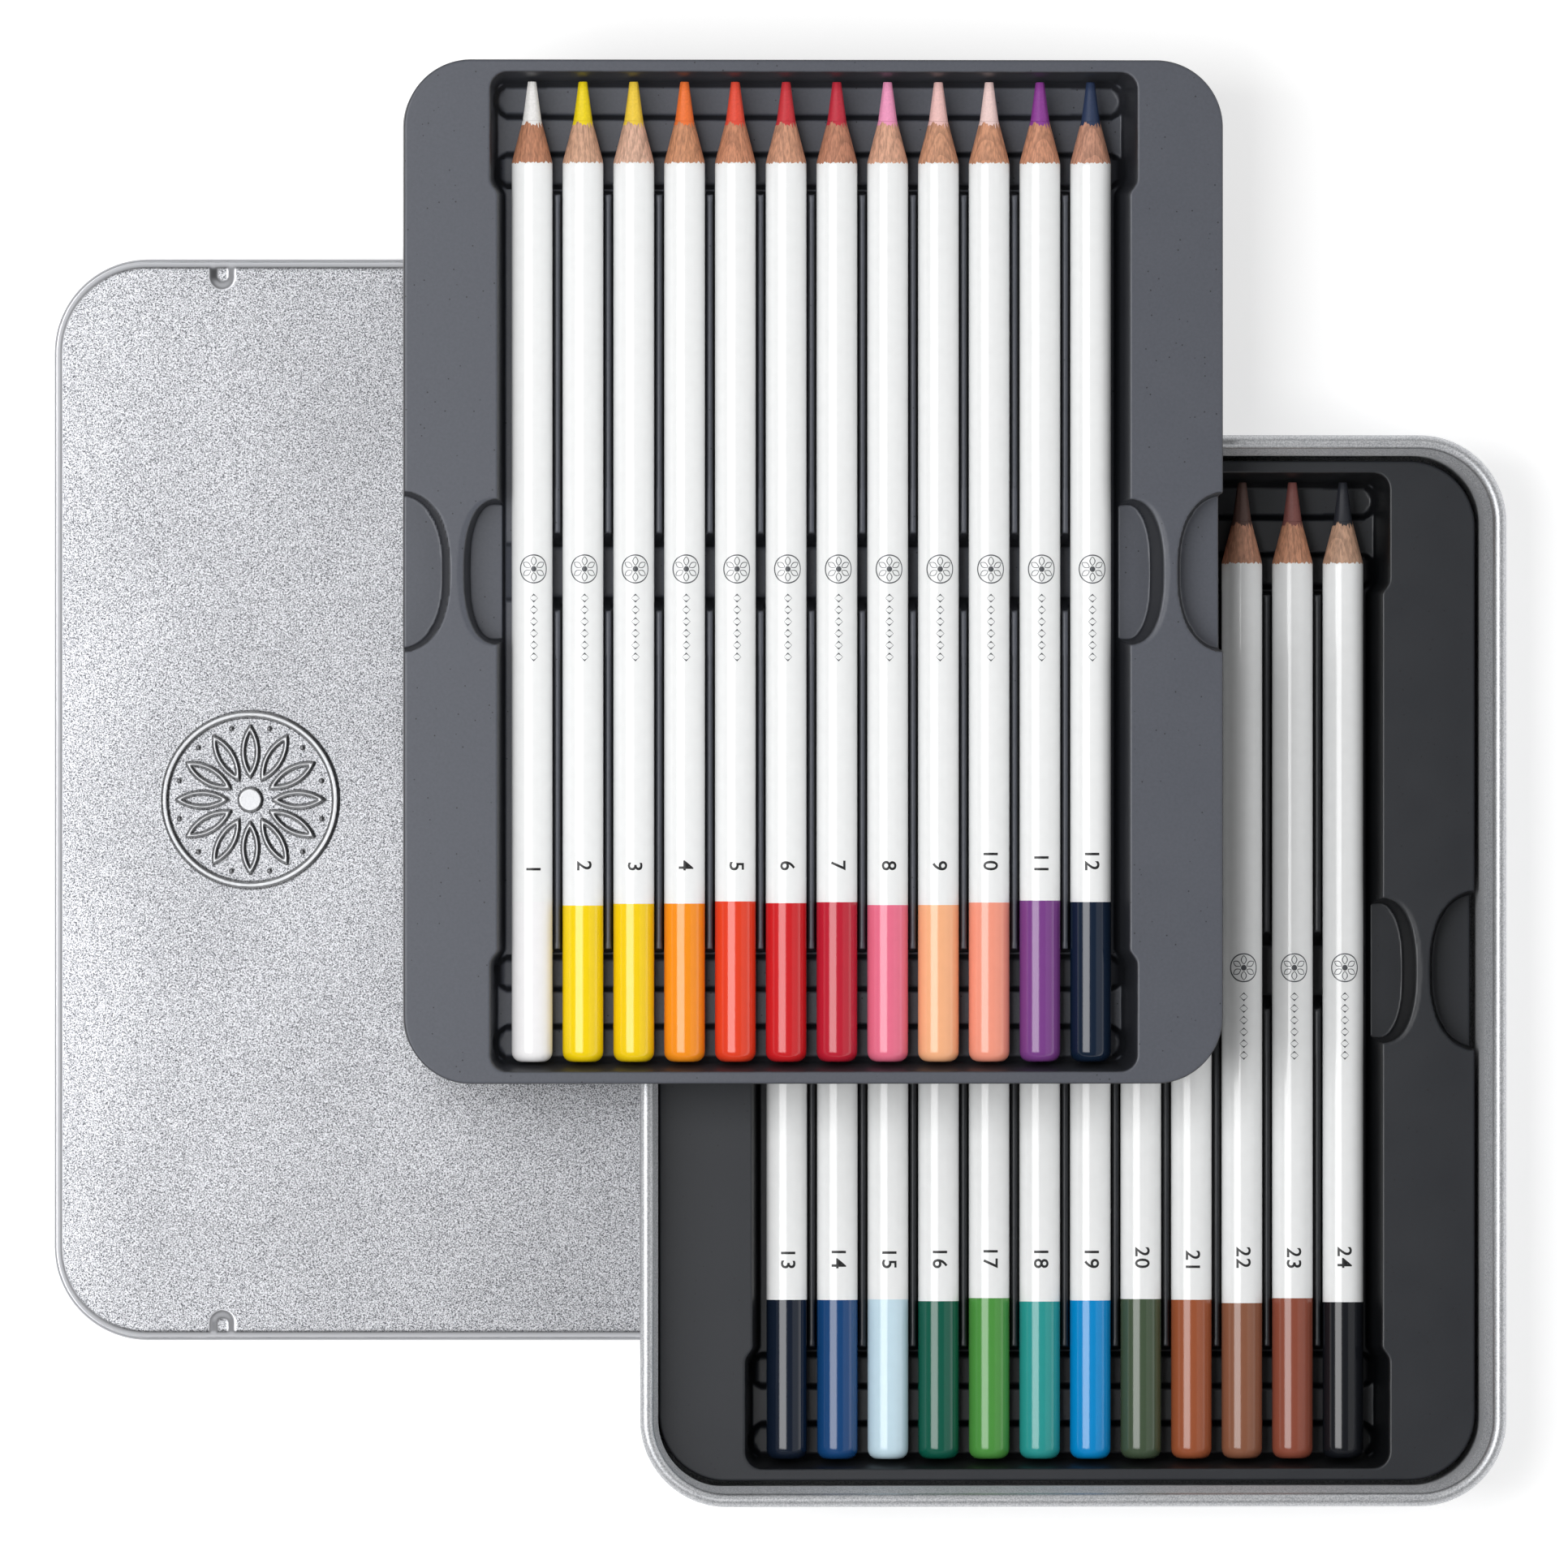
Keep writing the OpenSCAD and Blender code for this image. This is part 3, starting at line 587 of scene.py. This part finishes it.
# The grid's lines again stand close at the ribs, the walls and the oval recesses.
bends = (-1.65, -1.36, -0.65, -0.36, 0, 0.36, 0.65, 1.36, 1.65)
around = [rib * pitch + bend for rib in range(ribs_beside + 1) for bend in bends]
tray_w, tray_l = tray_half_w - brim, tray_half_l - brim
tray_xs = grid_lines(tray_w, *[(a, a, 1) for a in around if a > 0], (54.3, 58.4, 0.2),
    (58.4, 62.8, 0.26), (62.8, tray_w - 1.0, 0.32), (tray_w - 1.0, tray_w - 0.8, 0.2),
    (tray_w, tray_w, 1))
tray_ys = grid_lines(tray_l, (0, 4.2, 0.6), (4.2, 7.4, 0.3), (7.4, 11, 0.4), (11, 15, 0.22),
    (15, 66, 4), (66, 70.4, 0.3), (67.3, 68.3, 0.12), (73.5, 75.6, 0.25), (75.6, 81.2, 1.4),
    (80.4, 82.2, 0.22), (82.2, 85.9, 0.9), (85.9, 90.0, 0.2), (tray_l - 1.0, tray_l - 0.8, 0.2),
    (tray_half_l - tray_r, tray_l, 1.0), (tray_l, tray_l, 1))
tray_mesh = pressed_sheet(tray_xs, tray_ys, tray_w, tray_l, tray_r - brim, tray_top, tray_under,
    tray_edge, skirt_in)


def polystyrene(name, colour, speck):
    """Black polystyrene sheet, formed hot on a blasted mould. Its flats are satin and greyish,
    with a fine grain of 0.5 mm. Faces that turn away from the top are painted near black: painted
    shade on the walls. Static holds dark specks of pencil dust on it, about 2 mm apart."""
    grain_size, drift_size, dust_gap = 0.5, 9, 2.0
    made, tree, shader, place = start_material(name, Roughness=0.42, IOR=1.55)
    turned_place = add_node(tree, "ShaderNodeMapping", {"Rotation": askew}, {"Vector": place})
    fine = add_node(tree, "ShaderNodeTexNoise", {"Scale": per_mm(grain_size), "Detail": 2.0},
        {"Vector": turned_place.outputs[0]})
    broad = add_node(tree, "ShaderNodeTexNoise", {"Scale": per_mm(drift_size), "Detail": 3.0},
        {"Vector": place})
    dust = add_node(tree, "ShaderNodeTexVoronoi", {"Scale": per_mm(dust_gap)}, {"Vector": place})
    dot = add_node(tree, "ShaderNodeMapRange", {"From Min": 0.05, "From Max": 0.09, "To Min": 1.0,
        "To Max": 0.0}, {"Value": dust.outputs["Distance"]})
    lit = add_node(tree, "ShaderNodeMix", {"data_type": "RGBA", 6: linear(colour, 0.86),
        7: linear(colour, 1.14)}, {0: fine.outputs["Fac"]})
    # Painted shade: the colour falls to near black as a face turns away from the top, on the
    # walls.
    facing = add_node(tree, "ShaderNodeSeparateXYZ",
        links={0: add_node(tree, "ShaderNodeTexCoord").outputs["Normal"]})
    flat = add_node(tree, "ShaderNodeMapRange", {"From Min": 0.6, "From Max": 0.96},
        {"Value": facing.outputs["Z"]})
    painted_wall_shade = add_node(tree, "ShaderNodeMix", {"data_type": "RGBA", 6: linear(colour, 0.22)},
        {0: flat.outputs[0], 7: lit.outputs[2]})
    mixed = add_node(tree, "ShaderNodeMix", {"data_type": "RGBA", 7: linear(speck)},
        {0: dot.outputs[0], 6: painted_wall_shade.outputs[2]})
    tree.links.new(mixed.outputs[2], shader.inputs["Base Color"])
    dull = add_node(tree, "ShaderNodeMapRange", {"To Min": 0.36, "To Max": 0.5},
        {"Value": broad.outputs["Fac"]})
    tree.links.new(dull.outputs[0], shader.inputs["Roughness"])
    bump = add_node(tree, "ShaderNodeBump", {"Strength": 0.12, "Distance": 0.04 * MM},
        {"Height": fine.outputs["Fac"]})
    tree.links.new(bump.outputs[0], shader.inputs["Normal"])
    return made


UPPER = ["white", "yellow", "gold", "orange", "vermilion", "red", "crimson", "pink", "peach",
    "salmon", "violet", "navy"]
LOWER = ["indigo", "blue", "ice", "pine", "leaf", "teal", "sky", "olive", "rust", "umber",
    "sienna", "black"]


def axis_end(name):
    """The middle of a pencil's dipped end, in the tin's own frame, in metres."""
    low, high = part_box(f"pencil_{name}_casing")
    return slope.inverted() @ Vector(((low.x + high.x) / 2, low.y, (low.z + high.z) / 2))


# The two trays are lit and shaded copies of one polystyrene. The lower tray's copy and its specks
# are painted darker, as painted shade inside the tin. The upper tray's copy is painted lighter, as
# painted light above it.
for body, names, finish in (
        ("lower_tray", LOWER, polystyrene("polystyrene_lower_painted_shade", "#1f2228", "#0e0f12")),
        ("upper_tray", UPPER, polystyrene("polystyrene_upper_painted_light", "#4d5059", "#1d1e23"))):
    ends = [axis_end(name) for name in names]
    middle = sum(ends, Vector()) / len(ends)
    place = Matrix.Translation((middle.x, middle.y + pencil_l / 2 * MM, middle.z - axis_z * MM))
    tray = show(f"{body}_sheet", tray_mesh.copy(), [finish], body, slope @ place,
        [body])
    even_normals(tray)

# Each pencil is turned from two glued slats of cedar round its lead, lacquered white, dipped at
# the end in the colour of the lead, printed, and sharpened last, through lacquer and wood.
dip_l, end_r, wood_foot, lead_foot, lead_r, tip_r = 28.4, 1.8, 160.5, 168.0, 1.7, 0.775
cone_l = pencil_l - lead_foot
SIDES, FACETS = 72, 8
barrel_white = "#f0f1f1"


def turned(profile, facets=None, pared=None):
    """A body turned about Y from (y, radius) pairs, closed at both ends. facets gives how far
    each side is pared off where pared, a number for each pair, is 1."""
    rows = []
    for k, (y, r) in enumerate(profile):
        for i in range(SIDES):
            turn = 2 * math.pi * i / SIDES
            reach = r * (1 + facets[i] * pared[k]) if facets else r
            rows.append((reach * math.sin(turn), y, reach * math.cos(turn)))
    faces, kinds = [], []
    for k in range(len(profile) - 1):
        for i in range(SIDES):
            j = (i + 1) % SIDES
            faces.append((k * SIDES + i, (k + 1) * SIDES + i, (k + 1) * SIDES + j, k * SIDES + j))
            kinds.append(k)
    last = (len(profile) - 1) * SIDES
    faces.append(tuple(range(SIDES)))
    faces.append(tuple(last + i for i in reversed(range(SIDES))))
    kinds += [0, len(profile) - 2]
    mesh = bpy.data.meshes.new("turned")
    mesh.from_pydata([tuple(c * MM for c in p) for p in rows], [], faces)
    mesh.shade_smooth()
    return mesh, kinds


def lacquer(name, colour):
    """Nitrocellulose lacquer in many thin coats: a gloss skin, faintly wavy over 2 mm."""
    wave_size = 2.0
    made, tree, shader, place = start_material(name, Roughness=0.14, IOR=1.5)
    wave = add_node(tree, "ShaderNodeTexNoise", {"Scale": per_mm(wave_size), "Detail": 1.0},
        {"Vector": place})
    tint = add_node(tree, "ShaderNodeMix", {"data_type": "RGBA", 6: linear(colour, 0.97),
        7: linear(colour, 1.03)}, {0: wave.outputs["Fac"]})
    tree.links.new(tint.outputs[2], shader.inputs["Base Color"])
    bump = add_node(tree, "ShaderNodeBump", {"Strength": 0.1, "Distance": 0.02 * MM},
        {"Height": wave.outputs["Fac"]})
    tree.links.new(bump.outputs[0], shader.inputs["Normal"])
    return made


def sharpened_cedar(name, colour, lead, across):
    """Bare incense cedar, cut by the sharpener: fine pores 0.3 mm apart along the pencil, growth
    rings 1.1 mm apart that the cone cuts into arcs, and the white lacquer ending in a chipped
    edge. Where the wood is thinnest, the lead shows through in points."""
    pore, cut_w, drift_size, ring_w, chip_w, chip_l = 0.32, 0.9, 5, 1.1, 1.1, 0.44
    made, tree, shader, place = start_material(name, Roughness=0.62)
    own = add_node(tree, "ShaderNodeObjectInfo")
    apart = add_node(tree, "ShaderNodeVectorMath", {"operation": "SCALE", "Scale": 0.2},
        {0: own.outputs["Location"]})
    along = add_node(tree, "ShaderNodeVectorMath", {"operation": "MULTIPLY", 1: (1, 0.02, 1)},
        {0: place})
    moved = add_node(tree, "ShaderNodeVectorMath", {"operation": "ADD"},
        {0: along.outputs[0], 1: apart.outputs[0]})
    fibre = add_node(tree, "ShaderNodeTexNoise", {"Scale": per_mm(pore), "Detail": 2.0},
        {"Vector": moved.outputs[0]})
    blade = add_node(tree, "ShaderNodeTexNoise", {"Scale": per_mm(cut_w), "Detail": 2.0},
        {"Vector": place})
    wood = add_node(tree, "ShaderNodeValToRGB", links={"Fac": fibre.outputs["Fac"]})
    for stop, at, shade in zip(wood.color_ramp.elements, (0.3, 0.62), (0.72, 1.2)):
        stop.position, stop.color = at, linear(colour, shade)
    drift = add_node(tree, "ShaderNodeTexNoise", {"Scale": per_mm(drift_size), "Detail": 2.0},
        {"Vector": moved.outputs[0]})
    years = add_node(tree, "ShaderNodeVectorMath", {"operation": "DOT_PRODUCT",
        1: tuple(c * per_mm(ring_w) for c in across)}, {0: place})
    years = add_node(tree, "ShaderNodeMath", {"operation": "MULTIPLY_ADD", 1: 1.6},
        {0: drift.outputs["Fac"], 2: years.outputs["Value"]})
    years = add_node(tree, "ShaderNodeMath", {"operation": "FRACT"}, {0: years.outputs[0]})
    late = add_node(tree, "ShaderNodeMapRange", {"From Min": 0.55, "From Max": 0.93,
        "To Max": 0.34}, {"Value": years.outputs[0]})
    wood = add_node(tree, "ShaderNodeMix", {"data_type": "RGBA", 7: linear(colour, 0.36)},
        {0: late.outputs[0], 6: wood.outputs["Color"]})
    split = add_node(tree, "ShaderNodeSeparateXYZ", links={0: place})
    chips = add_node(tree, "ShaderNodeVectorMath", {"operation": "MULTIPLY", 1: (1, 0, 1)},
        {0: place})
    scallop = add_node(tree, "ShaderNodeTexNoise", {"Scale": per_mm(chip_w), "Detail": 3.0,
        "Roughness": 0.65}, {"Vector": chips.outputs[0]})
    edge = add_node(tree, "ShaderNodeMapRange", {"From Min": 0.3, "From Max": 0.7,
        "To Min": (wood_foot - chip_l) * MM, "To Max": (wood_foot + chip_l) * MM},
        {"Value": scallop.outputs["Fac"]})
    past = add_node(tree, "ShaderNodeMath", {"operation": "SUBTRACT"},
        {0: split.outputs["Y"], 1: edge.outputs[0]})
    bare = add_node(tree, "ShaderNodeMapRange", {"From Min": -0.03 * MM, "From Max": 0.03 * MM},
        {"Value": past.outputs[0]})
    thin = add_node(tree, "ShaderNodeMapRange", {"From Min": 0.35, "From Max": 0.65,
        "To Min": (lead_foot - 1.3) * MM, "To Max": (lead_foot + 0.2) * MM},
        {"Value": scallop.outputs["Fac"]})
    through = add_node(tree, "ShaderNodeMath", {"operation": "GREATER_THAN"},
        {0: split.outputs["Y"], 1: thin.outputs[0]})
    cone = add_node(tree, "ShaderNodeMix", {"data_type": "RGBA", 7: linear(lead)},
        {0: through.outputs[0], 6: wood.outputs[2]})
    mixed = add_node(tree, "ShaderNodeMix", {"data_type": "RGBA", 6: linear(barrel_white)},
        {0: bare.outputs[0], 7: cone.outputs[2]})
    tree.links.new(mixed.outputs[2], shader.inputs["Base Color"])
    dull = add_node(tree, "ShaderNodeMapRange", {"To Min": 0.1, "To Max": 0.62},
        {"Value": bare.outputs[0]})
    tree.links.new(dull.outputs[0], shader.inputs["Roughness"])
    relief = add_node(tree, "ShaderNodeMath", {"operation": "ADD"},
        {0: fibre.outputs["Fac"], 1: blade.outputs["Fac"]})
    cut = add_node(tree, "ShaderNodeMath", {"operation": "MULTIPLY"},
        {0: relief.outputs[0], 1: bare.outputs[0]})
    cut = add_node(tree, "ShaderNodeMath", {"operation": "SUBTRACT"},
        {0: cut.outputs[0], 1: bare.outputs[0]})
    bump = add_node(tree, "ShaderNodeBump", {"Strength": 0.35, "Distance": 0.05 * MM},
        {"Height": cut.outputs[0]})
    tree.links.new(bump.outputs[0], shader.inputs["Normal"])
    return made


def waxy_lead(name, colour):
    """Coloured lead: pigment and wax, pared by the blade into fine facets, with crumbs of
    0.4 mm."""
    crumb_size = 0.4
    made, tree, shader, place = start_material(name, Roughness=0.5, IOR=1.45)
    crumb = add_node(tree, "ShaderNodeTexNoise", {"Scale": per_mm(crumb_size), "Detail": 3.0},
        {"Vector": place})
    tint = add_node(tree, "ShaderNodeMix", {"data_type": "RGBA", 6: linear(colour, 0.8),
        7: linear(colour, 1.16)}, {0: crumb.outputs["Fac"]})
    tree.links.new(tint.outputs[2], shader.inputs["Base Color"])
    bump = add_node(tree, "ShaderNodeBump", {"Strength": 0.4, "Distance": 0.05 * MM},
        {"Height": crumb.outputs["Fac"]})
    tree.links.new(bump.outputs[0], shader.inputs["Normal"])
    return made


# Each pencil's dip, lead and cedar. The slats come from different planks.
COLOURS = {
    "white": ("#f1f0f1", "#eceae8", "#b67d5f"), "yellow": ("#f4d20c", "#f1d610", "#ca9e83"),
    "gold": ("#f4ce12", "#f3ce41", "#d5ab94"), "orange": ("#f6921d", "#f17634", "#c68a66"),
    "vermilion": ("#e34124", "#e64e38", "#c28464"), "red": ("#cc2126", "#cb333b", "#c89275"),
    "crimson": ("#bc2034", "#c32c3e", "#b97f64"), "pink": ("#e9718d", "#f39bc1", "#d5a287"),
    "peach": ("#f8b587", "#f1c3be", "#c89273"), "salmon": ("#f59b83", "#f3d4cf", "#ca9171"),
    "violet": ("#7a4089", "#8f3d97", "#c98e70"), "navy": ("#101f33", "#2a3958", "#c18d75"),
    "indigo": ("#111b2b", "#26324f", "#c18d73"), "blue": ("#154478", "#1c4b86", "#c28f75"),
    "ice": ("#c9e2ee", "#c4dfec", "#c89478"), "pine": ("#0e5947", "#1a6150", "#bf8b70"),
    "leaf": ("#4e9442", "#549a4a", "#c69074"), "teal": ("#2b9894", "#35a09a", "#c38e72"),
    "sky": ("#048bcf", "#2293d2", "#c79278"), "olive": ("#455540", "#4c5c47", "#c08c70"),
    "rust": ("#9d5535", "#a05b3b", "#c28e73"), "umber": ("#8b5a43", "#604943", "#c18d73"),
    "sienna": ("#8f4d3b", "#85524d", "#c18a6c"), "black": ("#16181d", "#2b2d34", "#bf987f")}

white_lacquer = lacquer("white_lacquer", barrel_white)
bows = [math.radians(a) for a in (0, 18, 36, 54, 72, 90)]
barrel_profile = [(end_r * (1 - math.sin(a)), barrel_r - end_r * (1 - math.cos(a)))
                  for a in reversed(bows)]
barrel_profile += [(y, barrel_r) for y in (2.4, 10, 20, dip_l - 0.02)]
dip_rows = len(barrel_profile)
barrel_profile += [(dip_l, barrel_r)]
barrel_profile += [(y, barrel_r) for y in np.linspace(dip_l + 1, wood_foot - 0.9, 12)]
barrel_rows = len(barrel_profile)
barrel_profile += [(wood_foot - 0.15, barrel_r), (wood_foot, barrel_r - 0.03)]
barrel_profile += [(wood_foot + (lead_foot - wood_foot) * t, barrel_r + (lead_r - barrel_r) * t)
                   for t in (0.05, 0.3, 0.6, 0.9, 0.99, 1.0)]
barrel_profile += [(lead_foot - 0.4, lead_r - 0.25)]
casing_mesh, kinds = turned(barrel_profile)
for face, kind in zip(casing_mesh.polygons, kinds):
    face.material_index = 0 if kind < dip_rows - 1 else 1 if kind < barrel_rows - 1 else 2

# The lead's cone is pared into flat facets, which fade out towards its foot.
lead_profile = [(lead_foot - 0.6, lead_r - 0.12), (lead_foot - 0.02, lead_r - 0.003)]
lead_profile += [(lead_foot + cone_l * t, lead_r + (tip_r - lead_r) * t)
                 for t in (0.005, 0.25, 0.5, 0.75, 0.985)]
lead_profile += [(pencil_l, tip_r - 0.12)]
pared = (0, 0, 0.3, 0.7, 1, 1.2, 1.5, 1.5)

# The prints are stamped with hot foil, which leaves them thin, even and a little shiny: black
# figures, and a grey rosette over a row of lozenges.
print_t, figure_size, figure_half, figure_gap = 0.012, 3.7, 1.3, 5.8
small_petals, petal_foot, petal_l, petal_bow, line_half = 6, 0.62, 1.6, 0.46, 0.08
small_rings, rosette_y = ((2.6, 2.38), (0.5, 0.0)), 88.0
lozenges, lozenge_half, lozenge_l, lozenge_step, lozenge_gap = 6, 0.75, 1.6, 2.1, 4.4
print_ink = start_material("black_print_ink", Base_Color=linear("#141416"), Roughness=0.4)[0]
foil = start_material("grey_print_foil", Base_Color=linear("#55575b"), Roughness=0.35,
    Metallic=0.3)[0]


def bent_round(mesh):
    """Bends a flat print round the barrel: x across it, y along it."""
    reach = barrel_r + print_t
    for v in mesh.vertices:
        turn = v.co.x / barrel_r
        v.co = Vector((reach * math.sin(turn), v.co.y, reach * math.cos(turn))) * MM


def print_number(number):
    """The figures of a number, reading down the barrel and 2.6 mm high."""
    curve = bpy.data.curves.new("figures", "FONT")
    curve.body = str(number)
    curve.size = figure_size
    curve.offset = 0.045
    curve.space_character = 1.12
    curve.resolution_u = 4
    text = bpy.data.objects.new("figures", curve)
    scene.collection.objects.link(text)
    depsgraph = bpy.context.evaluated_depsgraph_get()
    mesh = bpy.data.meshes.new_from_object(text.evaluated_get(depsgraph))
    bpy.data.objects.remove(text)
    shape = bmesh.new()
    shape.from_mesh(mesh)
    width = max(v.co.x for v in shape.verts)
    for v in shape.verts:
        v.co = Vector((v.co.y - figure_half, dip_l + figure_gap + width - v.co.x, 0))
    # Cut into strips, the flat figures can follow the barrel.
    for cut in np.arange(-1.25, 1.26, 0.25):
        bmesh.ops.bisect_plane(shape, geom=shape.verts[:] + shape.edges[:] + shape.faces[:],
            plane_co=(cut, 0, 0), plane_no=(1, 0, 0))
    bmesh.ops.remove_doubles(shape, verts=shape.verts, dist=1e-4)
    shape.to_mesh(mesh)
    shape.free()
    bent_round(mesh)
    return mesh


def print_rosette():
    """A small ring with six petals, and a row of lozenges under it."""
    points, faces = [], []

    def strip(left, right):
        start = len(points)
        for a, b in zip(left, right):
            points.extend([(*a, 0), (*b, 0)])
        for k in range(len(left) - 1):
            faces.append((start + 2 * k, start + 2 * k + 1, start + 2 * k + 3, start + 2 * k + 2))

    turns = np.linspace(0, 2 * math.pi, 49)
    for outer, inner in small_rings:
        strip([(outer * math.sin(t), rosette_y + outer * math.cos(t)) for t in turns],
              [(inner * math.sin(t), rosette_y + inner * math.cos(t)) for t in turns])
    for k in range(small_petals):
        turn = 2 * math.pi * k / small_petals
        along = Vector((math.sin(turn), math.cos(turn)))
        across = Vector((along.y, -along.x))
        for side in (-1, 1):
            left, right = [], []
            for t in np.linspace(0, 1, 9):
                bow = side * petal_bow * math.sin(math.pi * t)
                spot = Vector((0, rosette_y)) + along * (petal_foot + petal_l * t)
                left.append(tuple(spot + across * (bow - line_half)))
                right.append(tuple(spot + across * (bow + line_half)))
            strip(left, right)
    for k in range(lozenges):
        half = [lozenge_half * min(t, 1 - t) * 2 for t in np.linspace(0, 1, 9)]
        ys = rosette_y - lozenge_gap - lozenge_step * k - lozenge_l * np.linspace(0, 1, 9)
        strip([(-w, y) for w, y in zip(half, ys)], [(w, y) for w, y in zip(half, ys)])
    mesh = bpy.data.meshes.new("rosette")
    mesh.from_pydata(points, [], faces)
    shape = bmesh.new()
    shape.from_mesh(mesh)
    for face in shape.faces:
        if face.calc_area() > 0 and face.normal.z < 0:
            face.normal_flip()
    shape.to_mesh(mesh)
    shape.free()
    bent_round(mesh)
    return mesh


rosette_mesh = print_rosette()
for count, name in enumerate(UPPER + LOWER, 1):
    dice = random.Random(count)
    dip, lead, wood = COLOURS[name]
    turn = dice.uniform(0, math.pi)
    across = (math.cos(turn), dice.uniform(-0.05, 0.05), math.sin(turn))
    place = slope @ Matrix.Translation(axis_end(name))
    body, nodes = f"pencil_{name}", [f"pencil_{name}_casing", f"pencil_{name}_core"]
    finishes = [lacquer(f"dip_lacquer_{name}", dip), white_lacquer,
        sharpened_cedar(f"cedar_{name}", wood, lead, across)]
    # No two pencils are dipped equally deep.
    deeper = 0.5
    mesh = casing_mesh.copy()
    dipped = dice.uniform(-deeper, deeper) * MM
    for v in mesh.vertices[(dip_rows - 1) * SIDES:(dip_rows + 1) * SIDES]:
        v.co.y += dipped
    show(f"{body}_wood", mesh, finishes, body, place, nodes[:1])
    facets, facet_w = [0.0] * SIDES, SIDES // FACETS
    start = dice.randrange(facet_w)
    for k in range(FACETS):
        depth = dice.uniform(0.01, 0.04)
        for i in range(facet_w):
            facets[(start + facet_w * k + i) % SIDES] = -depth * math.sin(math.pi * i / facet_w)
    mesh, _ = turned(lead_profile, facets, pared)
    show(f"{body}_lead", mesh, [waxy_lead(f"lead_{name}", lead)], body, place,
        nodes[1:])
    show(f"{body}_number", print_number(count), [print_ink], body, place)
    show(f"{body}_rosette", rosette_mesh.copy(), [foil], body, place)
